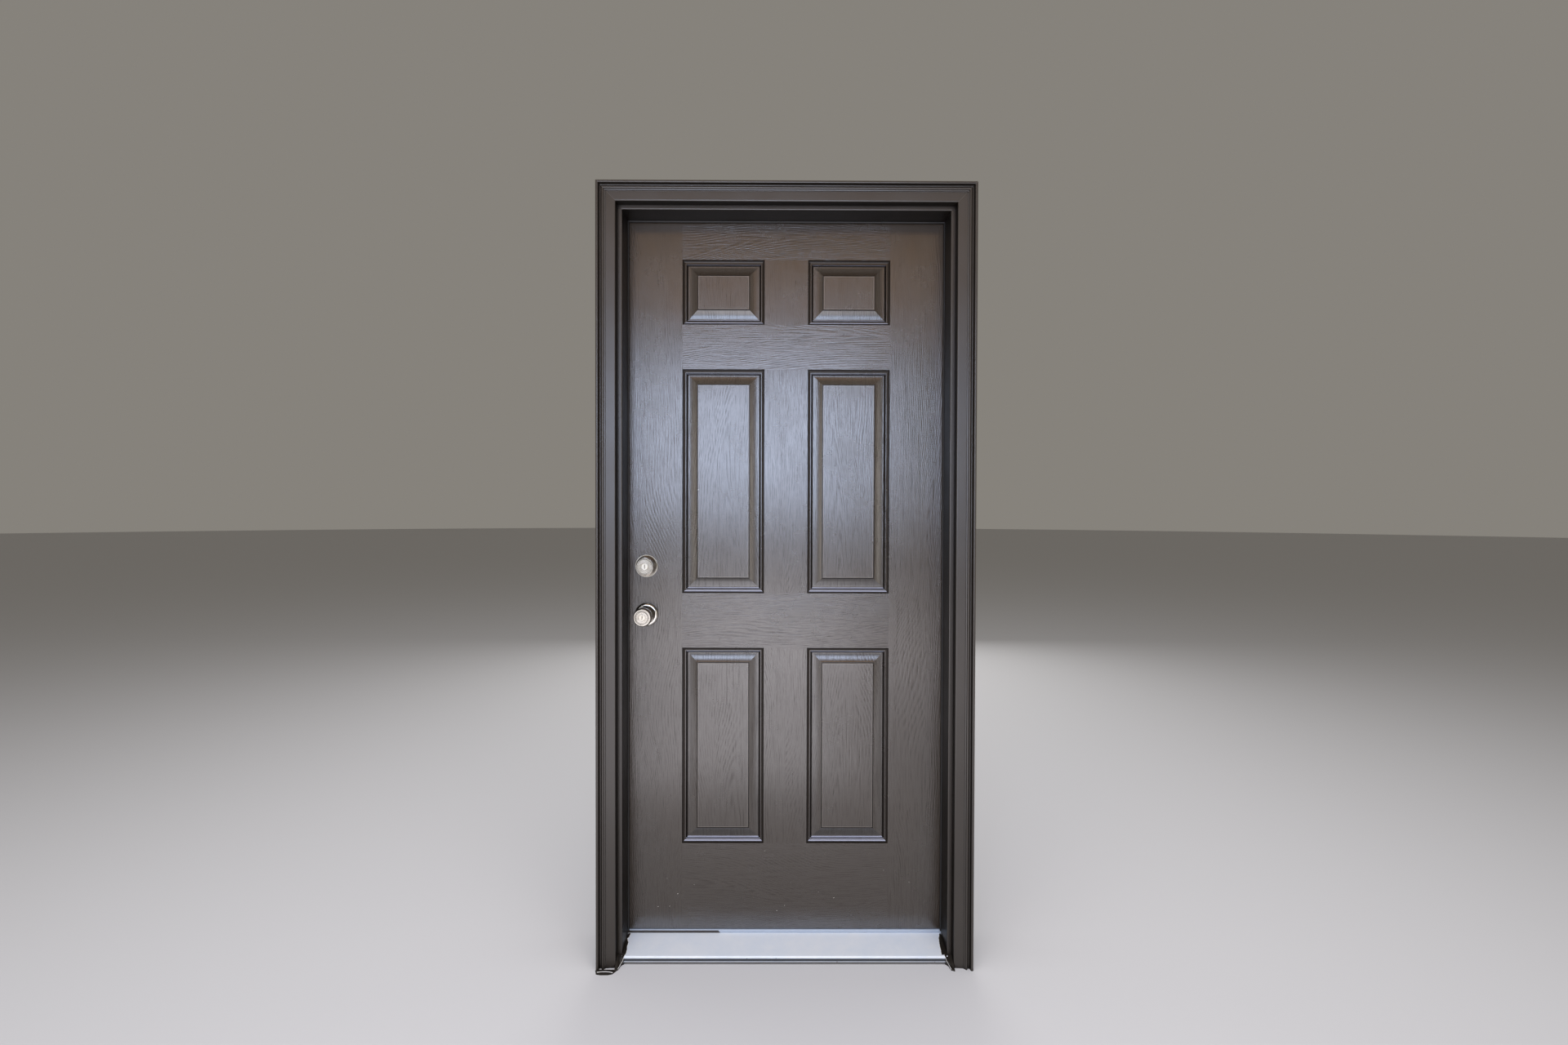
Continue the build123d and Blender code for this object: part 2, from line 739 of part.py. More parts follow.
block_x = (-stile_in, -stile_in + lock_block_width)
block_z = knob_z + lock_spacing / 2
lock_block_blank = block(
    block_x, inner_y, (block_z - lock_block_height / 2, block_z + lock_block_height / 2)
)
lock_block = lock_block_blank - bores - edges
core_z = (slab_low + bottom_timber, slab_high - top_timber)
foam_core = block((-stile_in, stile_in), inner_y, core_z) - lock_block_blank
foam_core = foam_core - backs - mirror(backs, room_side)


# The locks

def outside(z):
    """A plane on the street face at a lock's centre, with Z towards the street."""
    return Plane(origin=(lock_x, 0, z), x_dir=(1, 0, 0), z_dir=(0, -1, 0))


def inside(z):
    """A plane on the room face at a lock's centre, with Z into the room."""
    return Plane(origin=(lock_x, slab_thick, z), x_dir=(-1, 0, 0), z_dir=(0, 1, 0))


def knob_rose():
    """Rose with a rounded rim and a flat middle, and its flange inside the slab's bore."""
    bore, collar_high = shank_radius + shank_clear, rose_high + rose_rim
    round_out = rose_flat + 0.72 * (rose_radius - rose_flat)
    round_up = rose_rim + 0.72 * (rose_high - rose_rim)
    return turned(
        (bore, -flange_deep), (flange_radius, -flange_deep), (flange_radius, 0), (rose_radius, 0),
        (rose_radius, rose_rim), bend(round_out, round_up), (rose_flat, rose_high),
        (bore + rose_collar, rose_high), (bore + rose_collar, collar_high), (bore, collar_high),
    )


def knob_body(bore_radius, bore_deep):
    """Turned knob: shank, waist, swelling body, rim and a sunk ring round the middle of its front."""
    front, shank_end, bore_end = knob_reach, shank_low - flange_deep, knob_reach - bore_deep
    ring_out, ring_in = knob_face - ring_at, knob_face - ring_at - ring_wide
    body = turned(
        (0, shank_end), (shank_radius, shank_end), (shank_radius, front - knob_long),
        bend(shank_radius + 1.2, front - 0.9 * knob_long), (shank_radius + 4.4, front - 0.82 * knob_long),
        bend(0.95 * knob_radius, front - 0.6 * knob_long), (knob_radius, front - knob_long / 3),
        bend(0.99 * knob_radius, front - 0.155 * knob_long), (knob_face, front - small_edge),
        (knob_face - small_edge, front), (ring_out, front), (ring_out - small_edge, front - ring_deep),
        (ring_in + small_edge, front - ring_deep), (ring_in, front), (bore_radius + small_edge, front),
        (bore_radius, front - small_edge), (bore_radius, bore_end), (0, bore_end),
    )
    socket = block(
        (-spindle_side / 2, spindle_side / 2), (-spindle_side / 2, spindle_side / 2),
        (-flange_deep, spindle_socket),
    )
    return body - socket


def key_plug(front, long):
    """Cylinder plug with its keyway."""
    radius = plug_radius - plug_clear
    back, chamfer_at = front - long, front - small_edge
    plug = turned((0, back), (radius, back), (radius, chamfer_at), (radius - small_edge, front), (0, front))
    half_wide, half_high, depth = keyway_wide / 2, keyway_high / 2, (front - keyway_deep, front + 1)
    slot = block((-half_wide, half_wide), (-half_high, half_high), depth)
    side_ward = block((0, keyway_wide), (0, half_high / 2), depth)
    return plug - slot - side_ward


knob_rose_exterior = outside(knob_z) * knob_rose() - lock_bolts
knob_rose_interior = inside(knob_z) * knob_rose() - lock_bolts
exterior_knob = outside(knob_z) * knob_body(plug_radius, plug_long)
interior_knob = inside(knob_z) * knob_body(button_radius + slide_clear / 3, plug_long)
knob_key_plug = outside(knob_z) * key_plug(knob_reach, plug_long)
half_spindle = spindle_side / 2
knob_spindle = block(
    (lock_x - half_spindle, lock_x + half_spindle),
    (-spindle_socket, slab_thick + spindle_socket),
    (knob_z - half_spindle, knob_z + half_spindle),
)


def turn_button():
    """Round push-and-turn button with a grip bar, in the middle of the room-side knob."""
    stem = rod((0, 0, knob_reach - plug_long), (0, 0, 1), button_radius, plug_long)
    half_long, half_wide = 0.9 * button_radius, 0.27 * button_radius
    grip_z = (knob_reach, knob_reach + button_grip)
    return stem + block((-half_long, half_long), (-half_wide, half_wide), grip_z)


lock_button = inside(knob_z) * turn_button()


def edge_case(z, wide, high):
    """Tube and face plate of a latch or bolt, open for the bolt and for what turns through its rear."""
    start = (-slab_half + face_thick, slab_middle, z)
    long = backset - face_thick + case_past
    tube = rod(start, (1, 0, 0), case_radius, long) - rod(start, (1, 0, 0), case_bore, long)
    mouth = block(
        (-slab_half, -slab_half + face_thick),
        (slab_middle - wide / 2 - slide_clear, slab_middle + wide / 2 + slide_clear),
        (z - high / 2 - slide_clear, z + high / 2 + slide_clear),
    )
    window = rod((lock_x, 0, z), (0, 1, 0), spindle_side, slab_thick)
    return face_plate(z) - mouth + tube - window - face_screws


latch_case = edge_case(knob_z, latch_wide, latch_high)
deadbolt_case = edge_case(deadbolt_z, bolt_wide, bolt_high)


def latch():
    """Sprung latch with its slope to the street, and a forked tail that straddles the spindle."""
    tip, heel = -slab_half - latch_throw, -slab_half + latch_throw
    near, far = slab_middle - latch_wide / 2, slab_middle + latch_wide / 2
    nib = 2.0
    head = section((tip, far), (tip, far - nib), (-slab_half, near), (heel, near), (heel, far))
    head = extrude(Pos(0, 0, knob_z - latch_high / 2) * head, latch_high)
    prong = 2.2
    clear = spindle_side / sqrt(2) + slide_clear
    tails = [
        block((heel, lock_x + clear), (slab_middle - prong / 2, slab_middle + prong / 2), span)
        for span in ((knob_z + clear, knob_z + clear + prong), (knob_z - clear - prong, knob_z - clear))
    ]
    return together([head, *tails])


def deadbolt():
    """Square bolt, drawn back flush with its plate, and the bar by which the tailpiece moves it."""
    y = (slab_middle - bolt_wide / 2, slab_middle + bolt_wide / 2)
    z = (deadbolt_z - bolt_high / 2, deadbolt_z + bolt_high / 2)
    body = block((-slab_half, -slab_half + bolt_long), y, z)
    bar = block(
        (-slab_half + bolt_long, lock_x + case_past - bolt_throw / 4),
        (slab_middle - tail_wide / 2, slab_middle + tail_wide / 2),
        (z[1] - tail_thick, z[1]),
    )
    return body + bar


latch_bolt, deadbolt_bolt = latch(), deadbolt()


def deadbolt_collar_shape():
    """Tapered guard ring that stands on a flat base ring."""
    bore, foot = cylinder_radius + shank_clear, collar_radius - collar_rim
    waist = ((foot + collar_front) / 2 - small_edge, collar_reach / 2 + small_edge)
    return turned(
        (bore, 0), (collar_radius, 0), (collar_radius, collar_base - small_edge),
        (collar_radius - small_edge, collar_base), (foot, collar_base), bend(*waist),
        (collar_front + small_edge, collar_reach - small_edge),
        (collar_front, collar_reach), (bore, collar_reach),
    )


def deadbolt_cylinder_shape():
    """Solid lock cylinder with its flange in the slab's bore and a hole for the plug."""
    front = collar_reach + cylinder_proud
    return turned(
        (plug_radius, -flange_deep), (flange_radius, -flange_deep), (flange_radius, 0),
        (cylinder_radius, 0), (cylinder_radius, front - small_edge), (cylinder_radius - small_edge, front),
        (plug_radius + small_edge, front), (plug_radius, front - small_edge),
    )


def thumb_rose():
    """Room-side cover of the deadbolt."""
    bore, near = thumb_shaft + shank_clear, thumb_rose_round * (1 - 1 / sqrt(2))
    return turned(
        (bore, -flange_deep), (flange_radius, -flange_deep), (flange_radius, 0), (thumb_rose_radius, 0),
        (thumb_rose_radius, thumb_rose_high - thumb_rose_round),
        bend(thumb_rose_radius - near, thumb_rose_high - near),
        (thumb_rose_radius - thumb_rose_round, thumb_rose_high), (bore, thumb_rose_high),
    )


def thumb_piece():
    """Thumbturn: a shaft through the cover and a tapering grip."""
    grip_base = thumb_rose_high + cylinder_proud
    shaft = rod((0, 0, -flange_deep), (0, 0, 1), thumb_shaft, flange_deep + grip_base + thumb_foot)
    corner = thumb_wide / 3
    foot = Plane.XY.offset(grip_base) * RectangleRounded(thumb_wide, thumb_long - thumb_wide, corner)
    crown = Plane.XY.offset(thumb_reach) * RectangleRounded(0.7 * thumb_wide, thumb_long, corner)
    half_thick, half_wide = tail_thick / 2, tail_wide / 2
    socket = block((-half_thick, half_thick), (-half_wide, half_wide), (-flange_deep, tail_seat))
    return shaft + loft([foot, crown]) - socket


deadbolt_collar = outside(deadbolt_z) * deadbolt_collar_shape()
deadbolt_cylinder = outside(deadbolt_z) * deadbolt_cylinder_shape() - lock_bolts
plug_front = collar_reach + cylinder_proud
deadbolt_key_plug = outside(deadbolt_z) * key_plug(plug_front, plug_front + flange_deep)
deadbolt_rose_interior = inside(deadbolt_z) * thumb_rose() - lock_bolts
thumbturn = inside(deadbolt_z) * thumb_piece()
tailpiece = block(
    (lock_x - tail_thick / 2, lock_x + tail_thick / 2),
    (flange_deep + slide_clear, slab_thick + tail_seat),
    (deadbolt_z - tail_wide / 2, deadbolt_z + tail_wide / 2),
)

nodes = {
    "hinge_jamb": hinge_jamb,
    "strike_jamb": strike_jamb,
    "head_jamb": head_jamb,
    "casing_hinge_side": casing_leg,
    "casing_strike_side": mirrored(casing_leg),
    "casing_head": casing_head,
    "sill_deck": sill_deck,
    "sill_substrate": sill_substrate,
    "threshold_cap": threshold_cap,
    "threshold_cap_screws": cap_screws,
    "frame_screws": frame_screws,
    "weather_seal_hinge_side": seal_side,
    "weather_seal_strike_side": mirrored(seal_side),
    "weather_seal_head": seal_head,
    "corner_pad_hinge_side": corner_pad,
    "corner_pad_strike_side": mirrored(corner_pad),
    "latch_strike": latch_strike,
    "deadbolt_strike": deadbolt_strike,
    "strike_screws": strike_screws,
    "jamb_hinge_screws": jamb_hinge_screws,
    "door_hinge_screws": door_hinge_screws,
    "exterior_skin": exterior_skin,
    "interior_skin": interior_skin,
    "lock_stile": lock_stile,
    "hinge_stile": hinge_stile,
    "top_rail": top_rail,
    "bottom_rail": bottom_rail,
    "lock_block": lock_block,
    "foam_core": foam_core,
    "door_sweep": door_sweep,
    "lock_screws": lock_screws,
    "knob_rose_exterior": knob_rose_exterior,
    "knob_rose_interior": knob_rose_interior,
    "exterior_knob": exterior_knob,
    "interior_knob": interior_knob,
    "knob_spindle": knob_spindle,
    "knob_key_plug": knob_key_plug,
    "lock_button": lock_button,
    "latch_case": latch_case,
    "latch_bolt": latch_bolt,
    "deadbolt_case": deadbolt_case,
    "deadbolt_bolt": deadbolt_bolt,
    "deadbolt_collar": deadbolt_collar,
    "deadbolt_cylinder": deadbolt_cylinder,
    "deadbolt_key_plug": deadbolt_key_plug,
    "deadbolt_rose_interior": deadbolt_rose_interior,
    "thumbturn": thumbturn,
    "tailpiece": tailpiece,
}
for place in hinge_places:
    nodes[f"hinge_leaf_jamb_{place}"] = jamb_leaves[place]
    nodes[f"hinge_leaf_door_{place}"] = door_leaves[place]
    nodes[f"hinge_pin_{place}"] = hinge_pins[place]

for name, shape in nodes.items():
    export_step(shape, f"parts/{name}.step")
print(len(nodes), "nodes written")
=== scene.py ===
# %% [markdown]
# # A painted front door, dressed in Blender
# The solids of this door come from a CAD model: slab, jambs, casing, sill, seals, hinges and locks.
# Blender gives them their surfaces. The lesson goes from the camera and the light to each finish, and
# then adds the small things that a CAD model has no use for: paint that ran over the ends of the sill,
# sealant, caulk, pale specks and scrapes.

import json
import math
import random

import bmesh
import bpy
from mathutils import Matrix, Vector


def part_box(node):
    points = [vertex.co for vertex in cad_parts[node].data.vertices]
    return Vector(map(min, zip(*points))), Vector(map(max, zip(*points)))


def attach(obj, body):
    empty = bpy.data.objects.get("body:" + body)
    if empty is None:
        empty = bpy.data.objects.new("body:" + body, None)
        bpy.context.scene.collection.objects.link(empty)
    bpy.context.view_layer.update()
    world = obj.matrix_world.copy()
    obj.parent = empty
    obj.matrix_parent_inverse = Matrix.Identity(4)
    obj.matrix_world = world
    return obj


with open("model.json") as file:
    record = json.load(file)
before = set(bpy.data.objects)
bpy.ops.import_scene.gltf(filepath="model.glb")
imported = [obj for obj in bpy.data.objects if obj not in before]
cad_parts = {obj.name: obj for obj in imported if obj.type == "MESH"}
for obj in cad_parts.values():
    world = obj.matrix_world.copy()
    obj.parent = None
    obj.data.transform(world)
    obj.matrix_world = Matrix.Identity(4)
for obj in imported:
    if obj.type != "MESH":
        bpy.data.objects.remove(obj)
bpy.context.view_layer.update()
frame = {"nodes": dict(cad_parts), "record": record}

# %% [markdown]
# ## The camera
# The camera stands 1.69 m in front of the slab, a little left of its middle, with the lens about
# 1.22 m above the floor. A lens position can be guessed by eye, or solved from straight edges whose
# real places are known. Solving was chosen here: thirty edges of slab, jamb and casing gave the place
# of the lens, a focal length of 729 pixels across a picture of 1920, and turns of under one degree.

# %% Set the camera
PICTURE_WIDTH = 1920
FOCAL_PIXELS = 728.75
SENSOR = 36.0
LENS_PLACE = Vector((-0.0107, -1.6865, 1.2214))
TURN, TILT, ROLL = math.radians(-0.196), math.radians(-0.628), math.radians(0.158)

ahead = Vector((-math.sin(TURN), math.cos(TURN), 0))
right = Vector((math.cos(TURN), math.sin(TURN), 0))
above = Vector((0, 0, 1))
ahead, above = (
    ahead * math.cos(TILT) + above * math.sin(TILT),
    above * math.cos(TILT) - ahead * math.sin(TILT),
)
right, above = (
    right * math.cos(ROLL) + above * math.sin(ROLL),
    above * math.cos(ROLL) - right * math.sin(ROLL),
)

lens = bpy.data.cameras.new("front_view")
lens.sensor_width = SENSOR
lens.sensor_fit = "HORIZONTAL"
lens.lens = FOCAL_PIXELS / PICTURE_WIDTH * SENSOR
camera = bpy.data.objects.new("front_view", lens)
bpy.context.scene.collection.objects.link(camera)
turn = Matrix((right, above, -ahead)).transposed().to_4x4()
camera.matrix_world = Matrix.Translation(LENS_PLACE) @ turn
bpy.context.scene.camera = camera
print("focal length in mm:", round(lens.lens, 2))

# %% [markdown]
# ## Colour and nodes
# Colours are written as hex values, as a paint chart gives them. The renderer counts in linear light,
# so one function turns the first into the second. The others fill sockets, add a node with its
# settings and links, turn a real size in millimetres into the scale of a pattern, and start a
# material. They keep each recipe short enough to read as a list of steps. A range of values, such as
# how dark a corner must be to count as a crevice, has a name of its own above the recipe that uses it.

# %% Helpers for colours and nodes
def linear(hex_colour):
    """The linear colour of an sRGB hex value."""
    parts = [int(hex_colour[i : i + 2], 16) / 255 for i in (1, 3, 5)]
    return [p / 12.92 if p <= 0.04045 else ((p + 0.055) / 1.055) ** 2.4 for p in parts] + [1.0]


def fill(node, inputs):
    """Fills inputs with plain values, with sockets, or with the first live output of other nodes."""
    for name, value in inputs.items():
        if isinstance(value, bpy.types.Node):
            value = next(socket for socket in value.outputs if socket.enabled)
        if isinstance(value, bpy.types.NodeSocket):
            node.id_data.links.new(value, node.inputs[name])
        else:
            node.inputs[name].default_value = value


def add(tree, kind, inputs=None, **settings):
    """Adds a node, sets its properties and fills its inputs."""
    node = tree.nodes.new("ShaderNode" + kind)
    for name, value in settings.items():
        setattr(node, name, value)
    fill(node, inputs or {})
    return node


def per_metre(millimetres):
    """How many times a pattern of the given size repeats along one metre."""
    return 1000.0 / millimetres


def finish_named(name):
    """A new material: its node tree, its shader, and the place on the door in metres."""
    material = bpy.data.materials.new(name)
    material.use_nodes = True
    tree = material.node_tree
    tree.nodes.clear()
    shader = add(tree, "BsdfPrincipled")
    add(tree, "OutputMaterial", {"Surface": shader})
    place = add(tree, "TexCoord").outputs["Object"]
    return material, tree, shader, place


print("mid grey in linear light:", round(linear("#808080")[0], 3))

# %% [markdown]
# ## Floor and sky
# The door stands on a plain pale floor under an even, slightly warm sky. The floor could be a square
# plane, but its corners would show at the horizon, so it is a wide disc. It is matt, so that it takes
# the door's shadow and shows no reflection of the lamps.

# %% Floor and sky
FLOOR_RADIUS, FLOOR_CORNERS = 60.0, 96
SKY_STRENGTH = 0.37

floor_mesh = bpy.data.meshes.new("floor")
turns = [2 * math.pi * i / FLOOR_CORNERS for i in range(FLOOR_CORNERS)]
rim = [(FLOOR_RADIUS * math.cos(t), FLOOR_RADIUS * math.sin(t), 0) for t in turns]
floor_mesh.from_pydata(rim, [], [range(FLOOR_CORNERS)])
floor = bpy.data.objects.new("floor", floor_mesh)
bpy.context.scene.collection.objects.link(floor)
floor_finish, _, shader, _ = finish_named("pale_floor")
fill(shader, {"Base Color": linear("#cbcacb"), "Roughness": 0.9, "Specular IOR Level": 0.1})
floor_mesh.materials.append(floor_finish)

world = bpy.data.worlds.new("soft_sky")
bpy.context.scene.world = world
world.use_nodes = True
background = world.node_tree.nodes["Background"]
fill(background, {"Color": linear("#d2ccc2"), "Strength": SKY_STRENGTH})
bpy.context.scene.view_settings.view_transform = "Standard"
print("floor radius in metres:", FLOOR_RADIUS)

# %% [markdown]
# ## Soft light
# The slab is satin paint, so most of what the eye reads as its colour is a soft reflection: cool sky
# in the upper half, paler ground below, something dimmer to each side, and a warm ceiling at the top.
# The highlights could be painted on, but they would then stay put when the door swings. So a large
# soft panel stands where each bright thing would be. The size and place of each come from mirror
# geometry, since the camera sees the panel's image in the slab. One more hangs high above and lights
# tread and ground evenly. It is kept out of reflections, where its image would be too bright in the
# bevels that face up. The last stands on the room side, for views from behind.

# %% Soft panels
TO_DOOR, TO_STREET, UPWARD, DOWNWARD = (0, 1, 0), (0, -1, 0), (0, 0, 1), (0, 0, -1)
SKY_BLUE, GROUND_WHITE, SIDE_WHITE = "#d3e2ff", "#fbf8ff", "#fffaf4"
ON_GROUND = 0.012


def soft_panel(name, middle, facing, size, brightness, colour):
    """An area lamp of a width and height whose surface has the given brightness, where 1 is white."""
    width, height = size
    lamp = bpy.data.lights.new(name, "AREA")
    lamp.shape = "RECTANGLE"
    lamp.size, lamp.size_y = width, height
    lamp.energy = brightness * math.pi * width * height
    lamp.color = linear(colour)[:3]
    panel = bpy.data.objects.new(name, lamp)
    bpy.context.scene.collection.objects.link(panel)
    panel.location = middle
    panel.rotation_euler = Vector(facing).to_track_quat("-Z", "Y").to_euler()
    panel.visible_camera = False
    return panel


soft_panel("open_sky", (-0.28, -4.0, 1.96), TO_DOOR, (2.6, 1.5), 7.4, SKY_BLUE)
soft_panel("near_ground", (-0.21, -2.05, ON_GROUND), UPWARD, (1.1, 2.1), 1.8, GROUND_WHITE)
soft_panel("far_ground", (-0.20, -6.2, ON_GROUND), UPWARD, (2.4, 6.4), 3.6, GROUND_WHITE)
soft_panel("left_side", (-3.6, -3.5, 1.35), (0.74, 0.67, 0), (2.2, 2.3), 1.72, SIDE_WHITE)
soft_panel("low_left_side", (-1.5, -4.2, 0.62), (0.3, 0.95, 0), (0.95, 0.9), 0.5, "#fffdfa")
soft_panel("left_ground", (-1.45, -1.5, ON_GROUND), UPWARD, (0.9, 1.8), 0.95, GROUND_WHITE)
soft_panel("right_ground", (1.55, -1.5, ON_GROUND), UPWARD, (0.9, 1.8), 0.75, GROUND_WHITE)
soft_panel("right_side", (3.4, -3.9, 1.35), (-0.66, 0.75, 0), (1.9, 2.3), 2.1, SIDE_WHITE)
overhead = soft_panel("overhead", (0, -1.2, 5.0), DOWNWARD, (3.5, 3.5), 5.2, "#f4f5fa")
overhead.visible_glossy = False
soft_panel("warm_ceiling", (0, -2.35, 2.75), DOWNWARD, (2.4, 1.7), 0.7, "#ffc07a")
soft_panel("room_side", (0.3, 4.2, 1.9), TO_STREET, (3.2, 2.2), 3.2, "#ffffff")

# %% [markdown]
# ## Painted embossed fibreglass: the slab
# The skins are glass-fibre sheet, pressed against a mould that was cast from real oak boards and then
# painted dark brown with a satin acrylic. To the eye that gives a soft sheen with fine streaks of
# grain in it. The streaks run as carpentry would have them: upright on stiles, mullions and panels,
# and level on the rails. A picture of grain could be stretched over the door, but here the grain is
# computed from the place on the slab, so each board gets its own figure. The first step is the layout
# of the boards, in metres and from the same sizes as the CAD model.

# %% The slab's layout
SLAB_LOW, SLAB_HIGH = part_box("lock_stile")[0].z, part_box("lock_stile")[1].z
SLAB_THICK = 0.0445
STILE, MULLION = 0.1612, 0.1226
TOP_RAIL, UPPER_PANEL, FRIEZE_RAIL = 0.1140, 0.1818, 0.1260
LOCK_RAIL, LOWER_PANEL, BOTTOM_RAIL = 0.1556, 0.5578, 0.2448
RAILS_HALF = (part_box("exterior_skin")[1].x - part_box("exterior_skin")[0].x) / 2 - STILE
lock_rail_low = SLAB_LOW + BOTTOM_RAIL + LOWER_PANEL
frieze_low = SLAB_HIGH - TOP_RAIL - UPPER_PANEL - FRIEZE_RAIL
RAILS = [
    (SLAB_LOW, SLAB_LOW + BOTTOM_RAIL),
    (lock_rail_low, lock_rail_low + LOCK_RAIL),
    (frieze_low, frieze_low + FRIEZE_RAIL),
    (SLAB_HIGH - TOP_RAIL, SLAB_HIGH),
]
PANEL_ROWS = [(below[1], above_it[0]) for below, above_it in zip(RAILS, RAILS[1:])]
PANEL_HALF = (RAILS_HALF - MULLION / 2) / 2
COLUMN_X = MULLION / 2 + PANEL_HALF
print("panel rows:", [[round(v, 3) for v in row] for row in PANEL_ROWS])

# %% [markdown]
# ## Oak grain from three patterns
# Flat-sawn oak shows nested arches, because the saw cuts the growth rings at a shallow angle. They
# could be drawn as curves, but a sine does as well: its phase is the distance from the board's heart
# line, rounded off at the tip of the arch, with the run along the board. Two finer noises make the
# fibres and the pores. Real fibres and pores are a tenth of a millimetre wide, too fine for the
# render, so they are drawn 2.5 and 1.1 mm wide, and the relief is deeper than on the pressed sheet.

# %% Sizes of the grain
RINGS = per_metre(5.6)  # growth rings across a board
ARCH_RUN = per_metre(77)  # rings passed along the middle of a board
ARCH_HALF = 0.016  # half width of an arch's rounded tip
BOARD_REPEAT = 0.31  # the heart line comes back once in this width
HEART_WANDER = 0.34  # the width in which the heart line may stray
FIBRE_ACROSS, FIBRE_ALONG = per_metre(2.5), per_metre(71)
PORE_ACROSS, PORE_ALONG = per_metre(1.1), per_metre(17)
UNREST = 1.7  # rings by which the arches waver
RING_MIDDLE = 0.3
RING_STRENGTH = {"From Min": 0.35, "From Max": 0.65, "To Min": 0.03, "To Max": 0.16}
FIBRE_HEIGHT = {"From Min": 0.35, "From Max": 0.65, "To Max": 0.32}
PORE_HEIGHT = {"From Min": 0.36, "From Max": 0.5, "To Max": 0.1}
GRAIN_HEIGHT = 0.0003
print("rings per metre across a board:", round(RINGS))

# %% Pressed oak grain
def grain_relief(tree, across, along, board):
    """Height of pressed oak grain, from 0 to 1, for a place across and along a board."""

    def stretched(wide, long, detail, roughness):
        first = add(tree, "Math", {0: across, 1: wide}, operation="MULTIPLY")
        second = add(tree, "Math", {0: along, 1: long}, operation="MULTIPLY")
        spot = add(tree, "CombineXYZ", {"X": first, "Y": second, "Z": board})
        settings = {"Vector": spot, "Scale": 1.0, "Detail": detail, "Roughness": roughness}
        return add(tree, "TexNoise", settings)

    # How far a place lies from the wandering heart line of its board.
    wander = stretched(per_metre(385), per_metre(770), detail=1.0, roughness=0.4)
    offset = {0: wander, 1: HEART_WANDER, 2: -HEART_WANDER / 2}
    heart = add(tree, "Math", offset, operation="MULTIPLY_ADD")
    aside = add(tree, "Math", {0: across, 1: BOARD_REPEAT}, operation="PINGPONG")
    aside = add(tree, "Math", {0: aside, 1: BOARD_REPEAT / 2}, operation="SUBTRACT")
    aside = add(tree, "Math", {0: aside, 1: heart}, operation="SUBTRACT")

    # The arch: that distance, rounded off at the tip, with the run along the board.
    arch = add(tree, "Math", {0: aside, 1: aside, 2: ARCH_HALF**2}, operation="MULTIPLY_ADD")
    arch = add(tree, "Math", {0: arch}, operation="SQRT")
    arch = add(tree, "Math", {0: arch, 1: RINGS}, operation="MULTIPLY")
    arch = add(tree, "Math", {0: along, 1: ARCH_RUN, 2: arch}, operation="MULTIPLY_ADD")
    unrest = stretched(per_metre(50), per_metre(200), detail=2.0, roughness=0.55)
    phase = add(tree, "Math", {0: unrest, 1: UNREST, 2: arch}, operation="MULTIPLY_ADD")
    phase = add(tree, "Math", {0: phase, 1: 2 * math.pi}, operation="MULTIPLY")
    rings = add(tree, "Math", {0: phase}, operation="SINE")

    # Rings that are stronger in some places, with fibres and pores on top.
    strength = stretched(per_metre(42), per_metre(333), detail=2.0, roughness=0.5)
    strength = add(tree, "MapRange", {"Value": strength, **RING_STRENGTH})
    rings = add(tree, "Math", {0: rings, 1: strength, 2: RING_MIDDLE}, operation="MULTIPLY_ADD")
    fibres = stretched(FIBRE_ACROSS, FIBRE_ALONG, detail=2.0, roughness=0.6)
    fibres = add(tree, "MapRange", {"Value": fibres, **FIBRE_HEIGHT})
    pores = stretched(PORE_ACROSS, PORE_ALONG, detail=1.0, roughness=0.5)
    pores = add(tree, "MapRange", {"Value": pores, **PORE_HEIGHT})
    height = add(tree, "Math", {0: rings, 1: fibres}, operation="ADD")
    return add(tree, "Math", {0: height, 1: pores}, operation="ADD")


print("grain height in mm:", GRAIN_HEIGHT * 1000)

# %% [markdown]
# ## Which board a place lies on
# The grain turns level on the rails, and its figure changes from board to board, as it would between
# real pieces of oak. The skin is one sheet, so it could be cut into boards with a material each. The
# place itself tells as much: a rail is a band of height between the stiles, and rounding the place to
# wide steps gives a number that picks another part of the noise for each board.

# %% Which board a place lies on
BOARD_WIDE, BOARD_HIGH = 0.2, 0.35  # the steps, in metres
STILE_FIGURE, RAIL_FIGURE = 17.3, 11.9  # any large numbers do

slab_paint, tree, shader, place = finish_named("satin_acrylic_on_fibreglass")
axes = add(tree, "SeparateXYZ", {0: place})
x, y, z = axes.outputs["X"], axes.outputs["Y"], axes.outputs["Z"]
in_rail = 0.0
for low, high in RAILS:
    band = add(tree, "Math", {0: z, 1: (low + high) / 2, 2: (high - low) / 2}, operation="COMPARE")
    in_rail = add(tree, "Math", {0: in_rail, 1: band}, operation="MAXIMUM")
between_stiles = add(tree, "Math", {0: x, 1: 0.0, 2: RAILS_HALF}, operation="COMPARE")
in_rail = add(tree, "Math", {0: in_rail, 1: between_stiles}, operation="MULTIPLY")
across = add(tree, "Mix", {"Factor": in_rail, "A": x, "B": z}, data_type="FLOAT")
along = add(tree, "Mix", {"Factor": in_rail, "A": z, "B": x}, data_type="FLOAT")
column = add(tree, "Math", {0: x, 1: BOARD_WIDE}, operation="SNAP")
row = add(tree, "Math", {0: z, 1: BOARD_HIGH}, operation="SNAP")
stile_board = add(tree, "Math", {0: column, 1: STILE_FIGURE}, operation="MULTIPLY")
rail_board = add(tree, "Math", {0: row, 1: RAIL_FIGURE}, operation="MULTIPLY")
boards = {"Factor": in_rail, "A": stile_board, "B": rail_board}
board = add(tree, "Mix", boards, data_type="FLOAT")
relief = grain_relief(tree, across, along, board)
print("nodes for boards and grain:", len(tree.nodes))

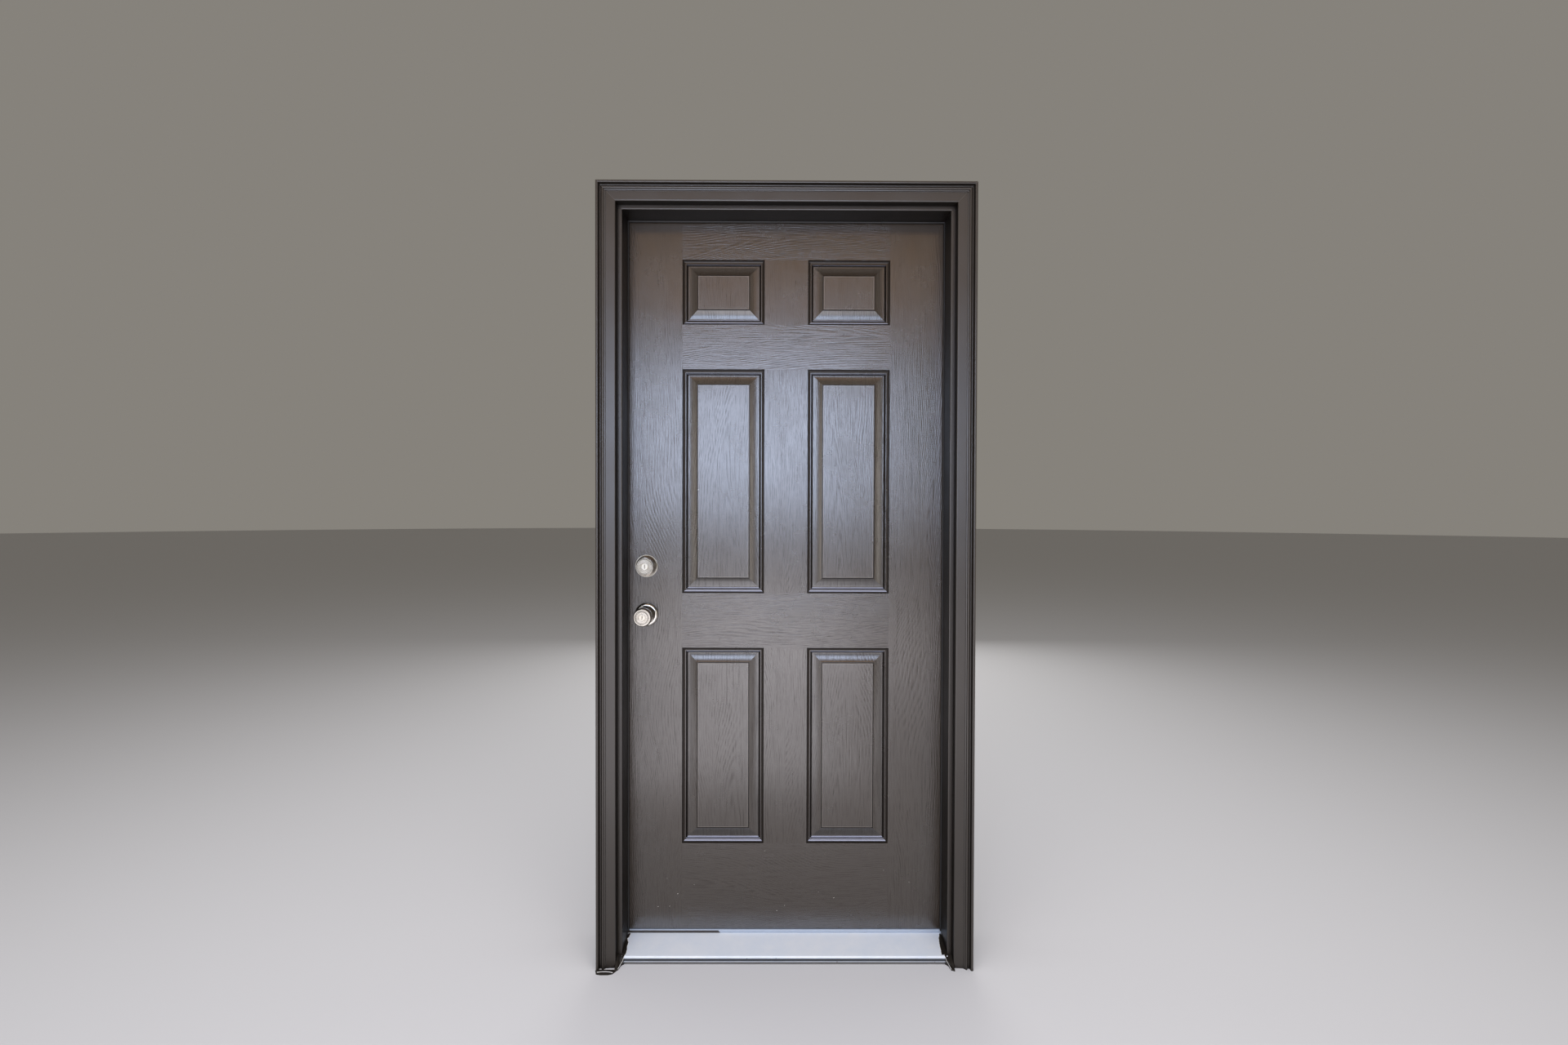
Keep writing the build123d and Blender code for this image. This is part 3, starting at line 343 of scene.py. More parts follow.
# %% [markdown]
# ## Lines round the panels
# Each panel has a moulding, a hollow bevel and a raised field. Shade is painted into the narrow
# grooves, where the thick paint also stays dull, a pale bluish highlight is painted on the ledges that
# face up, and a pale highlight on the field's edge. Nodes that look into corners could find the grooves,
# but they make noise in a fine pattern of grain. The distance in from a panel's outline is exact and
# costs little, so each line is a band of that distance.

# %% Bands of the moulding
MOULDING_BAND = (0.0075, 0.0075)  # middle and half width of all of the moulding, in metres
LEDGE_HIGHLIGHT_BAND = (0.0110, 0.0075)  # its ledges, where a pale bluish highlight is painted
QUIRK_BAND, GROOVE_BAND = (0.0025, 0.0024), (0.0124, 0.0019)  # its two narrow grooves
BEVEL_BAND = (0.0300, 0.0120)  # the bevel
CREASE_BAND = (0.0429, 0.0011)  # the narrow groove between the bevel and the raised field
ARRIS_BAND = (0.0453, 0.0007)  # the edge of the raised field, where a pale highlight is painted
BAND_EDGE = 0.0006
OUTSIDE = -1.0


def inside_panel(tree, x, z):
    """How far a place lies in from the outline of the panel around it, in metres."""
    beside = add(tree, "Math", {0: x}, operation="ABSOLUTE")
    beside = add(tree, "Math", {0: beside, 1: COLUMN_X}, operation="SUBTRACT")
    beside = add(tree, "Math", {0: beside}, operation="ABSOLUTE")
    beside = add(tree, "Math", {0: PANEL_HALF, 1: beside}, operation="SUBTRACT")
    within = OUTSIDE
    for low, high in PANEL_ROWS:
        row = add(tree, "Math", {0: z, 1: (low + high) / 2}, operation="SUBTRACT")
        row = add(tree, "Math", {0: row}, operation="ABSOLUTE")
        row = add(tree, "Math", {0: (high - low) / 2, 1: row}, operation="SUBTRACT")
        within = add(tree, "Math", {0: within, 1: row}, operation="MAXIMUM")
    return add(tree, "Math", {0: beside, 1: within}, operation="MINIMUM")


def line_at(tree, value, middle, half):
    """1 within half of a middle value and 0 outside, with soft edges."""
    off = add(tree, "Math", {0: value, 1: middle}, operation="SUBTRACT")
    off = add(tree, "Math", {0: off}, operation="ABSOLUTE")
    fade = {"From Min": half, "From Max": half + BAND_EDGE, "To Min": 1.0, "To Max": 0.0}
    return add(tree, "MapRange", {"Value": off, **fade})


inward = inside_panel(tree, x, z)
print("half width of a panel in mm:", round(PANEL_HALF * 1000, 1))

# %% [markdown]
# ## The slab's colour
# The brown is one paint, a little uneven from the spray. Shade is painted into the hollows of the
# grain and into the grooves, where the paint lies thick and light hardly reaches, and onto the bevel
# below each field, which faces the ground. A pale bluish highlight is painted on the ledges that face
# up. Each is a mask, mixed in one by one.

# %% Tones of the slab
# Ranges of the painted shade in grain hollows, deep grooves and lower bevels, and of the painted highlight on
# ledges.
DEEP_GROOVE = {"From Min": SLAB_THICK / 2 - 0.0040, "From Max": SLAB_THICK / 2 - 0.0092}
GRAIN_HOLLOW_SHADE = {"From Min": 0.2, "From Max": 0.55, "To Min": 0.35, "To Max": 0.0}
FACES_DOWN = {"From Min": -0.08, "From Max": -0.16, "To Max": 0.6}
FACES_UP = {"From Min": 0.3, "From Max": 0.75, "To Max": 0.85}
BAND_SHARES = ((QUIRK_BAND, 0.85), (GROOVE_BAND, 0.85), (CREASE_BAND, 0.5))
MOULDING_SHARE, DEPTH_SHARE, ARRIS_HIGHLIGHT_SHARE = 0.3, 0.25, 0.16
# the colour of the painted shade in the grooves and on the lower bevels
PAINTED_SHADE_BROWN = "#15110e"

cloud = add(tree, "TexNoise", {"Vector": place, "Scale": per_metre(312), "Detail": 3.0, "Roughness": 0.55})
browns = {"Factor": cloud, "A": linear("#30281f"), "B": linear("#392f26")}
tone = add(tree, "Mix", browns, data_type="RGBA")
# Painted shade in the hollows of the grain.
hollow = add(tree, "MapRange", {"Value": relief, **GRAIN_HOLLOW_SHADE})
tone = add(tree, "Mix", {"Factor": hollow, "A": tone, "B": linear("#241e19")}, data_type="RGBA")

# Painted shade in the grooves: the bands, and whatever lies deep below either face of the slab.
moulding = line_at(tree, inward, *MOULDING_BAND)
shade_mask = add(tree, "Math", {0: moulding, 1: MOULDING_SHARE}, operation="MULTIPLY")
for (middle, half), share in BAND_SHARES:
    line = add(tree, "Math", {0: line_at(tree, inward, middle, half), 1: share}, operation="MULTIPLY")
    shade_mask = add(tree, "Math", {0: shade_mask, 1: line}, operation="MAXIMUM")
depth = add(tree, "Math", {0: y, 1: SLAB_THICK / 2}, operation="SUBTRACT")
depth = add(tree, "Math", {0: depth}, operation="ABSOLUTE")
depth = add(tree, "MapRange", {"Value": depth, **DEEP_GROOVE})
shares = {0: depth, 1: DEPTH_SHARE, 2: shade_mask}
groove_shade = add(tree, "Math", shares, operation="MULTIPLY_ADD", use_clamp=True)
tone = add(tree, "Mix", {"Factor": groove_shade, "A": tone, "B": linear(PAINTED_SHADE_BROWN)}, data_type="RGBA")

# Painted highlight on the field's edge, painted shade on the lower bevels, and a painted bluish highlight on
# the ledges.
arris = line_at(tree, inward, *ARRIS_BAND)
field_edge_highlight = add(tree, "Math", {0: arris, 1: ARRIS_HIGHLIGHT_SHARE}, operation="MULTIPLY")
tone = add(tree, "Mix", {"Factor": field_edge_highlight, "A": tone, "B": linear("#a09a92")}, data_type="RGBA")
upward = add(tree, "SeparateXYZ", {0: add(tree, "TexCoord").outputs["Normal"]}).outputs["Z"]
shaded = add(tree, "MapRange", {"Value": upward, **FACES_DOWN})
shaded = add(tree, "Math", {0: shaded, 1: line_at(tree, inward, *BEVEL_BAND)}, operation="MULTIPLY")
tone = add(tree, "Mix", {"Factor": shaded, "A": tone, "B": linear(PAINTED_SHADE_BROWN)}, data_type="RGBA")
ledge_highlight = add(tree, "MapRange", {"Value": upward, **FACES_UP})
ledge_highlight = add(tree, "Math", {0: ledge_highlight, 1: line_at(tree, inward, *LEDGE_HIGHLIGHT_BAND)}, operation="MULTIPLY")
tone = add(tree, "Mix", {"Factor": ledge_highlight, "A": tone, "B": linear("#b4b8cc")}, data_type="RGBA")
fill(shader, {"Base Color": tone})
print("nodes with the tones:", len(tree.nodes))

# %% [markdown]
# ## The slab's sheen and relief
# Satin acrylic has a roughness of about a quarter, a little uneven. Thick paint in the grooves hardly
# shines. The grain is too fine to model, so it is a bump. The bevel is slightly hollow on the real
# door and straight in the solids. Its sag is at most 1.3 mm, so it goes into the same bump: a parabola
# across the bevel, zero at both edges.

# %% Sheen, grain and hollow bevel
SATIN_GLOSS = {"From Min": 0.3, "From Max": 0.7, "To Min": 0.23, "To Max": 0.29}
SLAB_SHINE = {"From Max": 0.9, "To Min": 0.82, "To Max": 0.05}
BEVEL_ACROSS = {"From Min": 0.0176, "From Max": 0.0414}
BEVEL_SAG = 0.0052  # four times the depth of the hollow at its middle
SLAB_IOR = 1.62  # acrylic has about 1.5, raised until the sheen matched

sheen_map = add(tree, "TexNoise", {"Vector": place, "Scale": per_metre(111), "Detail": 4.0, "Roughness": 0.6})
gloss = add(tree, "MapRange", {"Value": sheen_map, **SATIN_GLOSS})
matt = add(tree, "Math", {0: shade_mask, 1: hollow}, operation="MAXIMUM")
shine = add(tree, "MapRange", {"Value": matt, **SLAB_SHINE})
up_bevel = add(tree, "MapRange", {"Value": inward, **BEVEL_ACROSS})
sag = add(tree, "Math", {0: up_bevel, 1: 1.0}, operation="SUBTRACT")
sag = add(tree, "Math", {0: sag, 1: up_bevel}, operation="MULTIPLY")
sag = add(tree, "Math", {0: sag, 1: BEVEL_SAG}, operation="MULTIPLY")
height = add(tree, "Math", {0: relief, 1: GRAIN_HEIGHT, 2: sag}, operation="MULTIPLY_ADD")
bump = add(tree, "Bump", {"Strength": 1.0, "Distance": 1.0, "Height": height})
fill(shader, {"Roughness": gloss, "Specular IOR Level": shine, "Normal": bump, "IOR": SLAB_IOR})
print("hollow of the bevel in mm:", round(BEVEL_SAG / 4 * 1000, 2))

# %% [markdown]
# ## House paint on pine: the frame and the casing
# Jambs and casing are primed pine under the same brown, brushed on by hand. To the eye that is a
# duller satin than the slab's, with fine ridges along each length. The ridges could be modelled one
# by one, but at half a millimetre a stretched noise as a bump is enough, drawn at 1.4 mm so that it
# shows. The head runs along X and the legs along Z, so the recipe is made twice. Shade is painted into
# the corners and onto the faces turned toward the doorway, which see only the dark seal and the slab's
# edge. Arrises are rounded by the brush, and a pale highlight is painted on them where a Bevel node finds
# them.

# %% Brushed paint
BRUSH_HAIR, BRUSH_STROKE = per_metre(1.4), per_metre(333)
CORNER_REACH, CORNER_SAMPLES = 0.014, 6
# Ranges of the painted shade in corners and toward the doorway, and of the painted highlight on arrises.
CORNER_SHADE = {"From Min": 0.75, "From Max": 0.4, "To Max": 0.95}
DOORWAY_SHADE = {"From Min": -0.7, "From Max": -0.95, "To Max": 0.9}
FRAME_SHINE = {"From Max": 0.95, "To Min": 0.68, "To Max": 0.08}
FRAME_GLOSS = {"From Min": 0.3, "From Max": 0.7, "To Min": 0.3, "To Max": 0.4}
ARRIS_ROUND, ARRIS_SAMPLES = 0.0014, 4
ARRIS_HIGHLIGHT = {"From Min": 0.99, "From Max": 0.85, "To Max": 0.45}


def brushed_paint(name, length_axis):
    """Satin house paint with brush ridges along X or Z, painted shade in corners and a painted highlight on
    arrises.
    """
    material, tree, shader, place = finish_named(name)
    stretch = {"X": (BRUSH_STROKE, BRUSH_HAIR, BRUSH_HAIR), "Z": (BRUSH_HAIR, BRUSH_HAIR, BRUSH_STROKE)}
    strokes = add(tree, "Mapping", {"Vector": place, "Scale": stretch[length_axis]})
    ridges = add(tree, "TexNoise", {"Vector": strokes, "Scale": 1.0, "Detail": 2.0, "Roughness": 0.5})
    cloud = add(tree, "TexNoise", {"Vector": place, "Scale": per_metre(200), "Detail": 4.0, "Roughness": 0.6})
    browns = {"Factor": cloud, "A": linear("#2b251f"), "B": linear("#362f28")}
    tone = add(tree, "Mix", browns, data_type="RGBA")

    # Painted shade in corners and on faces toward the doorway: inward on the legs, down on the head.
    crevice = add(tree, "AmbientOcclusion", {"Distance": CORNER_REACH}, samples=CORNER_SAMPLES)
    shade_mask = add(tree, "MapRange", {"Value": crevice.outputs["AO"], **CORNER_SHADE})
    clear = add(tree, "Math", {0: 1.0, 1: shade_mask}, operation="SUBTRACT")
    facing = add(tree, "SeparateXYZ", {0: add(tree, "TexCoord").outputs["Normal"]})
    outward = facing.outputs["Z"]
    if length_axis == "Z":
        side = add(tree, "SeparateXYZ", {0: place}).outputs["X"]
        side = add(tree, "Math", {0: side}, operation="SIGN")
        outward = add(tree, "Math", {0: facing.outputs["X"], 1: side}, operation="MULTIPLY")
    doorway_shade = add(tree, "MapRange", {"Value": outward, **DOORWAY_SHADE})
    shade_mask = add(tree, "Math", {0: shade_mask, 1: doorway_shade}, operation="MAXIMUM")
    tone = add(tree, "Mix", {"Factor": shade_mask, "A": tone, "B": linear("#120f0d")}, data_type="RGBA")
    shine = add(tree, "MapRange", {"Value": shade_mask, **FRAME_SHINE})

    # Painted highlight on rounded arrises: there the rounded normal leaves the flat one.
    rounded = add(tree, "Bevel", {"Radius": ARRIS_ROUND}, samples=ARRIS_SAMPLES)
    flat = add(tree, "NewGeometry").outputs["True Normal"]
    level_with = add(tree, "VectorMath", {0: rounded, 1: flat}, operation="DOT_PRODUCT")
    edge_highlight = add(tree, "MapRange", {"Value": level_with, **ARRIS_HIGHLIGHT})
    edge_highlight = add(tree, "Math", {0: edge_highlight, 1: clear}, operation="MULTIPLY")
    tone = add(tree, "Mix", {"Factor": edge_highlight, "A": tone, "B": linear("#8f8981")}, data_type="RGBA")
    brushed = {"Strength": 0.35, "Distance": 0.0003, "Height": ridges, "Normal": rounded}
    bump = add(tree, "Bump", brushed)
    gloss = add(tree, "MapRange", {"Value": cloud, **FRAME_GLOSS})
    fill(shader, {"Base Color": tone, "Roughness": gloss, "Normal": bump, "Specular IOR Level": shine})
    return material


paint_upright = brushed_paint("satin_house_paint_on_legs", "Z")
paint_level = brushed_paint("satin_house_paint_on_head", "X")
print("nodes in the brushed paint:", len(paint_upright.node_tree.nodes))

# %% [markdown]
# ## Mill-finish aluminium: the sill
# The tread is an extrusion that left the die with fine lines along its length. Years outdoors gave it
# a chalky white oxide, which scatters light as paint does, so to the eye it is a pale, dull metal and
# only partly a mirror. The drawing lines could be anisotropy, but a noise stretched along X gives them
# and survives an export. They are finer than a tenth of a millimetre on the real sill and are drawn
# 1.1 mm apart, so that they show. The front of the nose is made darker, and the lip below it less so.
# Both go by height.

# %% Drawn aluminium
DIE_LENGTH, DIE_LINE = per_metre(400), per_metre(1.1)
OXIDE_DULL = {"From Min": 0.35, "From Max": 0.7, "To Min": 0.5, "To Max": 0.4}
OXIDE_METALLIC = 0.3
NOSE_DARKER = {"From Min": 0.0195, "From Max": 0.0145, "To Max": 0.97}
OVER_LIP = {"From Min": 0.0088, "From Max": 0.0094, "To Min": 0.5}

mill_aluminium, tree, shader, place = finish_named("mill_finish_aluminium")
drawn = add(tree, "Mapping", {"Vector": place, "Scale": (DIE_LENGTH, DIE_LINE, DIE_LINE)})
lines = add(tree, "TexNoise", {"Vector": drawn, "Scale": 1.0, "Detail": 2.0, "Roughness": 0.6})
stains = add(tree, "TexNoise", {"Vector": place, "Scale": per_metre(62), "Detail": 5.0, "Roughness": 0.62})
oxides = {"Factor": stains, "A": linear("#e0eaf8"), "B": linear("#fafcff")}
tone = add(tree, "Mix", oxides, data_type="RGBA")
dull = add(tree, "MapRange", {"Value": stains, **OXIDE_DULL})
bump = add(tree, "Bump", {"Strength": 0.2, "Distance": 0.0002, "Height": lines})
height = add(tree, "SeparateXYZ", {0: place}).outputs["Z"]
# The front of the nose is darker, the lip below it less so.
nose_darkening = add(tree, "MapRange", {"Value": height, **NOSE_DARKER})
over_lip = add(tree, "MapRange", {"Value": height, **OVER_LIP})
nose_darkening = add(tree, "Math", {0: nose_darkening, 1: over_lip}, operation="MULTIPLY")
tone = add(tree, "Mix", {"Factor": nose_darkening, "A": tone, "B": linear("#26282d")}, data_type="RGBA")
fill(shader, {"Base Color": tone, "Roughness": dull, "Normal": bump, "Metallic": OXIDE_METALLIC})
print("nodes in the aluminium:", len(tree.nodes))

# %% [markdown]
# ## Extruded vinyl: the cap under the slab
# The cap is pale grey vinyl, smooth from the die, so it has a soft even shine. On its first quarter
# from the lock side the front edge has been painted over with the door's brown, up to a slanted end.
# The paint could be a thin sheet of its own, but it follows the vinyl's surface, so a mask by place
# is simpler. Its end is where X, plus a share of the height, passes a limit, made ragged by noise.

# %% Vinyl with overpaint
OVERPAINT_SLANT, OVERPAINT_RAGGED = 0.9, 0.004
OVERPAINT_END = {"From Min": -0.153, "From Max": -0.151}
CAP_RIM = {"From Min": 0.0392, "From Max": 0.0398}
VINYL_ROUGHNESS = 0.34

cap_vinyl, tree, shader, place = finish_named("grey_vinyl_cap")
axes = add(tree, "SeparateXYZ", {0: place})
edge = add(tree, "TexNoise", {"Vector": place, "Scale": per_metre(7), "Detail": 3.0})
slant = {0: axes.outputs["Z"], 1: OVERPAINT_SLANT, 2: axes.outputs["X"]}
slant = add(tree, "Math", slant, operation="MULTIPLY_ADD")
slant = add(tree, "Math", {0: edge, 1: OVERPAINT_RAGGED, 2: slant}, operation="MULTIPLY_ADD")
bare = add(tree, "MapRange", {"Value": slant, **OVERPAINT_END})
rim = add(tree, "MapRange", {"Value": axes.outputs["Z"], **CAP_RIM})
bare = add(tree, "Math", {0: bare, 1: rim}, operation="MAXIMUM")
coats = {"Factor": bare, "A": linear("#332c27"), "B": linear("#a6b0bf")}
tone = add(tree, "Mix", coats, data_type="RGBA")
fill(shader, {"Base Color": tone, "Roughness": VINYL_ROUGHNESS})
print("nodes in the vinyl:", len(tree.nodes))

# %% [markdown]
# ## Satin nickel on turned brass: knob, roses and cylinder
# These are brass, turned on a lathe, plated with nickel and brushed on the spindle. To the eye that
# is a warm grey mirror, blurred into rings round the axis. A noise over the distance from the axis
# draws them: it is the same on every side of the knob, as the lathe's mark is. The real lines are
# finer than a tenth of a millimetre, so they are drawn at 0.7 mm. Finger grease dulls the metal a
# little, and shade is painted into the corners that the ambient occlusion node finds.

# %% Turned nickel
LOCK_X = (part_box("exterior_knob")[0].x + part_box("exterior_knob")[1].x) / 2
KNOB_Z = (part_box("exterior_knob")[0].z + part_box("exterior_knob")[1].z) / 2
BOLT_Z = (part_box("deadbolt_collar")[0].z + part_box("deadbolt_collar")[1].z) / 2
GREASE_DULL = {"From Min": 0.35, "From Max": 0.65, "To Min": 0.13, "To Max": 0.2}
NICKEL_SHADE_REACH, NICKEL_SHADE_SAMPLES = 0.015, 6
NICKEL_SHADE = {"From Min": 0.85, "From Max": 0.4, "To Max": 0.85}

satin_nickel, tree, shader, place = finish_named("satin_nickel_on_brass")
axes = add(tree, "SeparateXYZ", {0: place})
side = add(tree, "Math", {0: axes.outputs["X"], 1: LOCK_X}, operation="SUBTRACT")
to_knob = add(tree, "Math", {0: axes.outputs["Z"], 1: KNOB_Z}, operation="SUBTRACT")
to_bolt = add(tree, "Math", {0: axes.outputs["Z"], 1: BOLT_Z}, operation="SUBTRACT")
to_knob = add(tree, "Math", {0: to_knob}, operation="ABSOLUTE")
to_bolt = add(tree, "Math", {0: to_bolt}, operation="ABSOLUTE")
rise = add(tree, "Math", {0: to_knob, 1: to_bolt}, operation="MINIMUM")
spot = add(tree, "CombineXYZ", {"X": side, "Y": rise})
radius = add(tree, "VectorMath", {0: spot}, operation="LENGTH")
turning = add(tree, "CombineXYZ", {"X": radius, "Y": axes.outputs["Y"]})
lathe_marks = {"Vector": turning, "Scale": per_metre(0.7), "Detail": 2.0, "Roughness": 0.6}
rings = add(tree, "TexNoise", lathe_marks)
grease = add(tree, "TexNoise", {"Vector": place, "Scale": per_metre(17), "Detail": 3.0})
nickels = {"Factor": grease, "A": linear("#b4afa7"), "B": linear("#d0cbc3")}
tone = add(tree, "Mix", nickels, data_type="RGBA")
dull = add(tree, "MapRange", {"Value": grease, **GREASE_DULL})
# Painted shade in the corners, where the ambient occlusion node finds them.
crevice = add(tree, "AmbientOcclusion", {"Distance": NICKEL_SHADE_REACH}, samples=NICKEL_SHADE_SAMPLES)
nickel_corner_shade = add(tree, "MapRange", {"Value": crevice.outputs["AO"], **NICKEL_SHADE})
tone = add(tree, "Mix", {"Factor": nickel_corner_shade, "A": tone, "B": linear("#2e2c29")}, data_type="RGBA")
bump = add(tree, "Bump", {"Strength": 0.15, "Distance": 0.0001, "Height": rings})
fill(shader, {"Base Color": tone, "Roughness": dull, "Normal": bump, "Metallic": 1.0})
print("knob and bolt heights in metres:", round(KNOB_Z, 3), round(BOLT_Z, 3))

# %% [markdown]
# ## Plated steel: hinges, strikes, bolts and screws
# The hinge leaves are stamped steel, plated with nickel and brushed along their height. Latch, bolt
# and strikes are zinc-plated, and the screws have a yellower zinc. To the eye these are greys that
# differ in warmth, all clearly metal, with straight fine lines. One recipe serves them all, with
# colours and line sizes of their own. Lines of 1.1 mm are coarser than real brushing, so they show.

# %% Plated steel
def plated_steel(name, dark, pale, line_sizes, roughness):
    """Plated steel with lines of the given sizes in millimetres and a cloudy tone."""
    material, tree, shader, place = finish_named(name)
    stretched = add(tree, "Mapping", {"Vector": place, "Scale": [per_metre(size) for size in line_sizes]})
    lines = add(tree, "TexNoise", {"Vector": stretched, "Scale": 1.0, "Detail": 2.0})
    cloud = add(tree, "TexNoise", {"Vector": place, "Scale": per_metre(22), "Detail": 3.0})
    tone = add(tree, "Mix", {"Factor": cloud, "A": linear(dark), "B": linear(pale)}, data_type="RGBA")
    bump = add(tree, "Bump", {"Strength": 0.15, "Distance": 0.0001, "Height": lines})
    fill(shader, {"Base Color": tone, "Normal": bump, "Metallic": 1.0, "Roughness": roughness})
    return material


ALONG_Z, ALONG_X, ROUND_SPOTS, FINE_SPOTS = (1.1, 1.1, 83), (83, 1.1, 1.1), (3.3, 3.3, 3.3), (2, 2, 2)
hinge_steel = plated_steel("satin_nickel_on_steel", "#b8b2a8", "#d2cdc4", ALONG_Z, roughness=0.3)
lock_steel = plated_steel("zinc_on_lock_steel", "#aeb0b2", "#cccac2", ALONG_X, roughness=0.36)
zinc_screw = plated_steel("yellow_zinc_on_screws", "#a79f86", "#c9c3ac", ROUND_SPOTS, roughness=0.38)
plug_brass = plated_steel("nickel_on_brass_plug", "#b9b2a4", "#d8d2c6", FINE_SPOTS, roughness=0.28)
print("plated finishes:", [m.name for m in (hinge_steel, lock_steel, zinc_screw, plug_brass)])

# %% [markdown]
# ## Foam seals, vinyl sweep, wood-plastic composite and foam core
# These show only at the edges or with the door open. A seal is foam in a thin dark film, which gives
# it a fine pebble and a low shine. The sweep is matt extruded vinyl. The sill's base and the bottom
# rail are wood-plastic composite, pressed with coarse specks, and the rail is painted. The core is
# pale rigid foam, dull and porous. All are one speckle with its own size, so one recipe makes them.
# The stiles are laminated timber under the brushed brown of the frame.

# %% Speckled plastics
def speckled(name, dark, pale, grain_mm, roughness, depth):
    """A moulded or foamed plastic with a grain of the given size in millimetres, raised by a depth."""
    material, tree, shader, place = finish_named(name)
    grains = {"Vector": place, "Scale": per_metre(grain_mm), "Detail": 2.0, "Roughness": 0.6}
    speck = add(tree, "TexNoise", grains)
    tone = add(tree, "Mix", {"Factor": speck, "A": linear(dark), "B": linear(pale)}, data_type="RGBA")
    bump = add(tree, "Bump", {"Strength": 0.4, "Distance": depth, "Height": speck})
    fill(shader, {"Base Color": tone, "Normal": bump, "Roughness": roughness})
    return material


seal_foam = speckled("film_wrapped_foam_seal", "#0d0b0a", "#171412", 1.2, 0.55, depth=0.0002)
sweep_vinyl = speckled("flexible_vinyl_sweep", "#191715", "#25221f", 0.8, 0.6, depth=0.0001)
sill_composite = speckled("wood_plastic_composite", "#4a4641", "#6a655e", 2.5, 0.75, depth=0.0003)
rail_composite = speckled("painted_composite_rail", "#3a332c", "#4a423a", 2.0, 0.5, depth=0.0002)
core_foam = speckled("rigid_foam_core", "#d9c78f", "#ecdfae", 1.0, 0.85, depth=0.0003)
edge_timber = brushed_paint("satin_paint_on_timber_edge", "Z")
print("finishes so far:", len(bpy.data.materials))

# %% [markdown]
# ## Every node gets its finish
# The CAD record says for each node which slot of material it has. A table from slot to finish would
# do for all of them, but three level pieces carry brush strokes along X, so these are named apart.

# %% Dress every node
finishes = {
    "slab_paint": slab_paint,
    "frame_paint": paint_upright,
    "mill_aluminium": mill_aluminium,
    "sill_composite": sill_composite,
    "cap_vinyl": cap_vinyl,
    "zinc_screw": zinc_screw,
    "foam_seal": seal_foam,
    "satin_nickel": satin_nickel,
    "lock_steel": lock_steel,
    "plug_brass": plug_brass,
    "edge_timber": edge_timber,
    "rail_composite": rail_composite,
    "foam": core_foam,
    "sweep_vinyl": sweep_vinyl,
    "hinge_steel": hinge_steel,
}
level_nodes = ("head_jamb", "casing_head", "top_rail")
for part in frame["record"]["subparts"]:
    node = frame["nodes"][part["node"]]
    finish = paint_level if part["node"] in level_nodes else finishes[part["material_slot"]]
    for slot in node.material_slots:
        slot.material = finish

# %% [markdown]
# ## What the painting left behind
# The frame was painted with the sill in place. Brown paint ran over both ends of the tread, with a
# ragged edge where the tape was pulled, and painted sealant fills the corners between nose, casing
# and ground. A mask could tint the metal instead, but paint and sealant have a thickness that catches
# light at the edge, so each is a small mesh of its own, drawn from a few points whose real places on
# the tread were measured. The first step is a set of helpers that make such pieces.

# %% Helpers for thin pieces
RAGGED_STEPS, RAGGED_REACH = 5, 0.0007

chance = random.Random(4)


def ragged(points):
    """The same line with small steps between its points, each pushed a little to one side."""
    line = []
    for start, end in zip(points, points[1:]):
        for step in range(RAGGED_STEPS):
            share = step / RAGGED_STEPS
            spot = [a + (b - a) * share for a, b in zip(start, end)]
            line.append((spot[0] + chance.uniform(-1, 1) * RAGGED_REACH, *spot[1:]))
    return [*line, points[-1]]


def place_piece(name, data, finish, body):
    """Puts a mesh or curve into the scene with its finish, and lets it ride on a body of the door."""
    data.materials.append(finish)
    piece = bpy.data.objects.new(name, data)
    bpy.context.scene.collection.objects.link(piece)
    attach(piece, body)
    return piece


def closed_piece(name, lower, upper, finish, body):
    """A closed mesh between a lower and an upper ring of points."""
    count = len(lower)
    sides = [(i, (i + 1) % count, (i + 1) % count + count, i + count) for i in range(count)]
    mesh = bpy.data.meshes.new(name)
    mesh.from_pydata([*lower, *upper], [], [tuple(range(count)), tuple(range(count, 2 * count)), *sides])
    shape = bmesh.new()
    shape.from_mesh(mesh)
    bmesh.ops.recalc_face_normals(shape, faces=shape.faces)
    shape.to_mesh(mesh)
    shape.free()
    return place_piece(name, mesh, finish, body)


def bead(name, points, radius, finish, body):
    """A thin round line through points."""
    curve = bpy.data.curves.new(name, "CURVE")
    curve.dimensions = "3D"
    curve.bevel_depth = radius
    curve.bevel_resolution = 2
    spline = curve.splines.new("POLY")
    spline.points.add(len(points) - 1)
    for target, spot in zip(spline.points, points):
        target.co = (*spot, 1)
    return place_piece(name, curve, finish, body)


print("a ragged line strays by up to, in mm:", RAGGED_REACH * 1000)

# %% [markdown]
# ## Overrun paint and acrylic caulk
# The overrun is the same brown house paint, but thick and dried with lumps, so it has a soft uneven
# shine. The caulk is white acrylic with dust on it, squeezed from a tube: chalky and crumbly, with
# hardly any shine. Both could share one recipe, but only the paint has a bump that shows at this size.

# %% Paint and caulk
OVERRUN_ROUGHNESS, CAULK_ROUGHNESS = 0.38, 0.7

overrun_paint, tree, shader, place = finish_named("brown_overrun_paint")
lumps = add(tree, "TexNoise", {"Vector": place, "Scale": per_metre(5.5), "Detail": 3.0})
bump = add(tree, "Bump", {"Strength": 0.6, "Distance": 0.0004, "Height": lumps})
fill(shader, {"Base Color": linear("#211d19"), "Normal": bump, "Roughness": OVERRUN_ROUGHNESS})

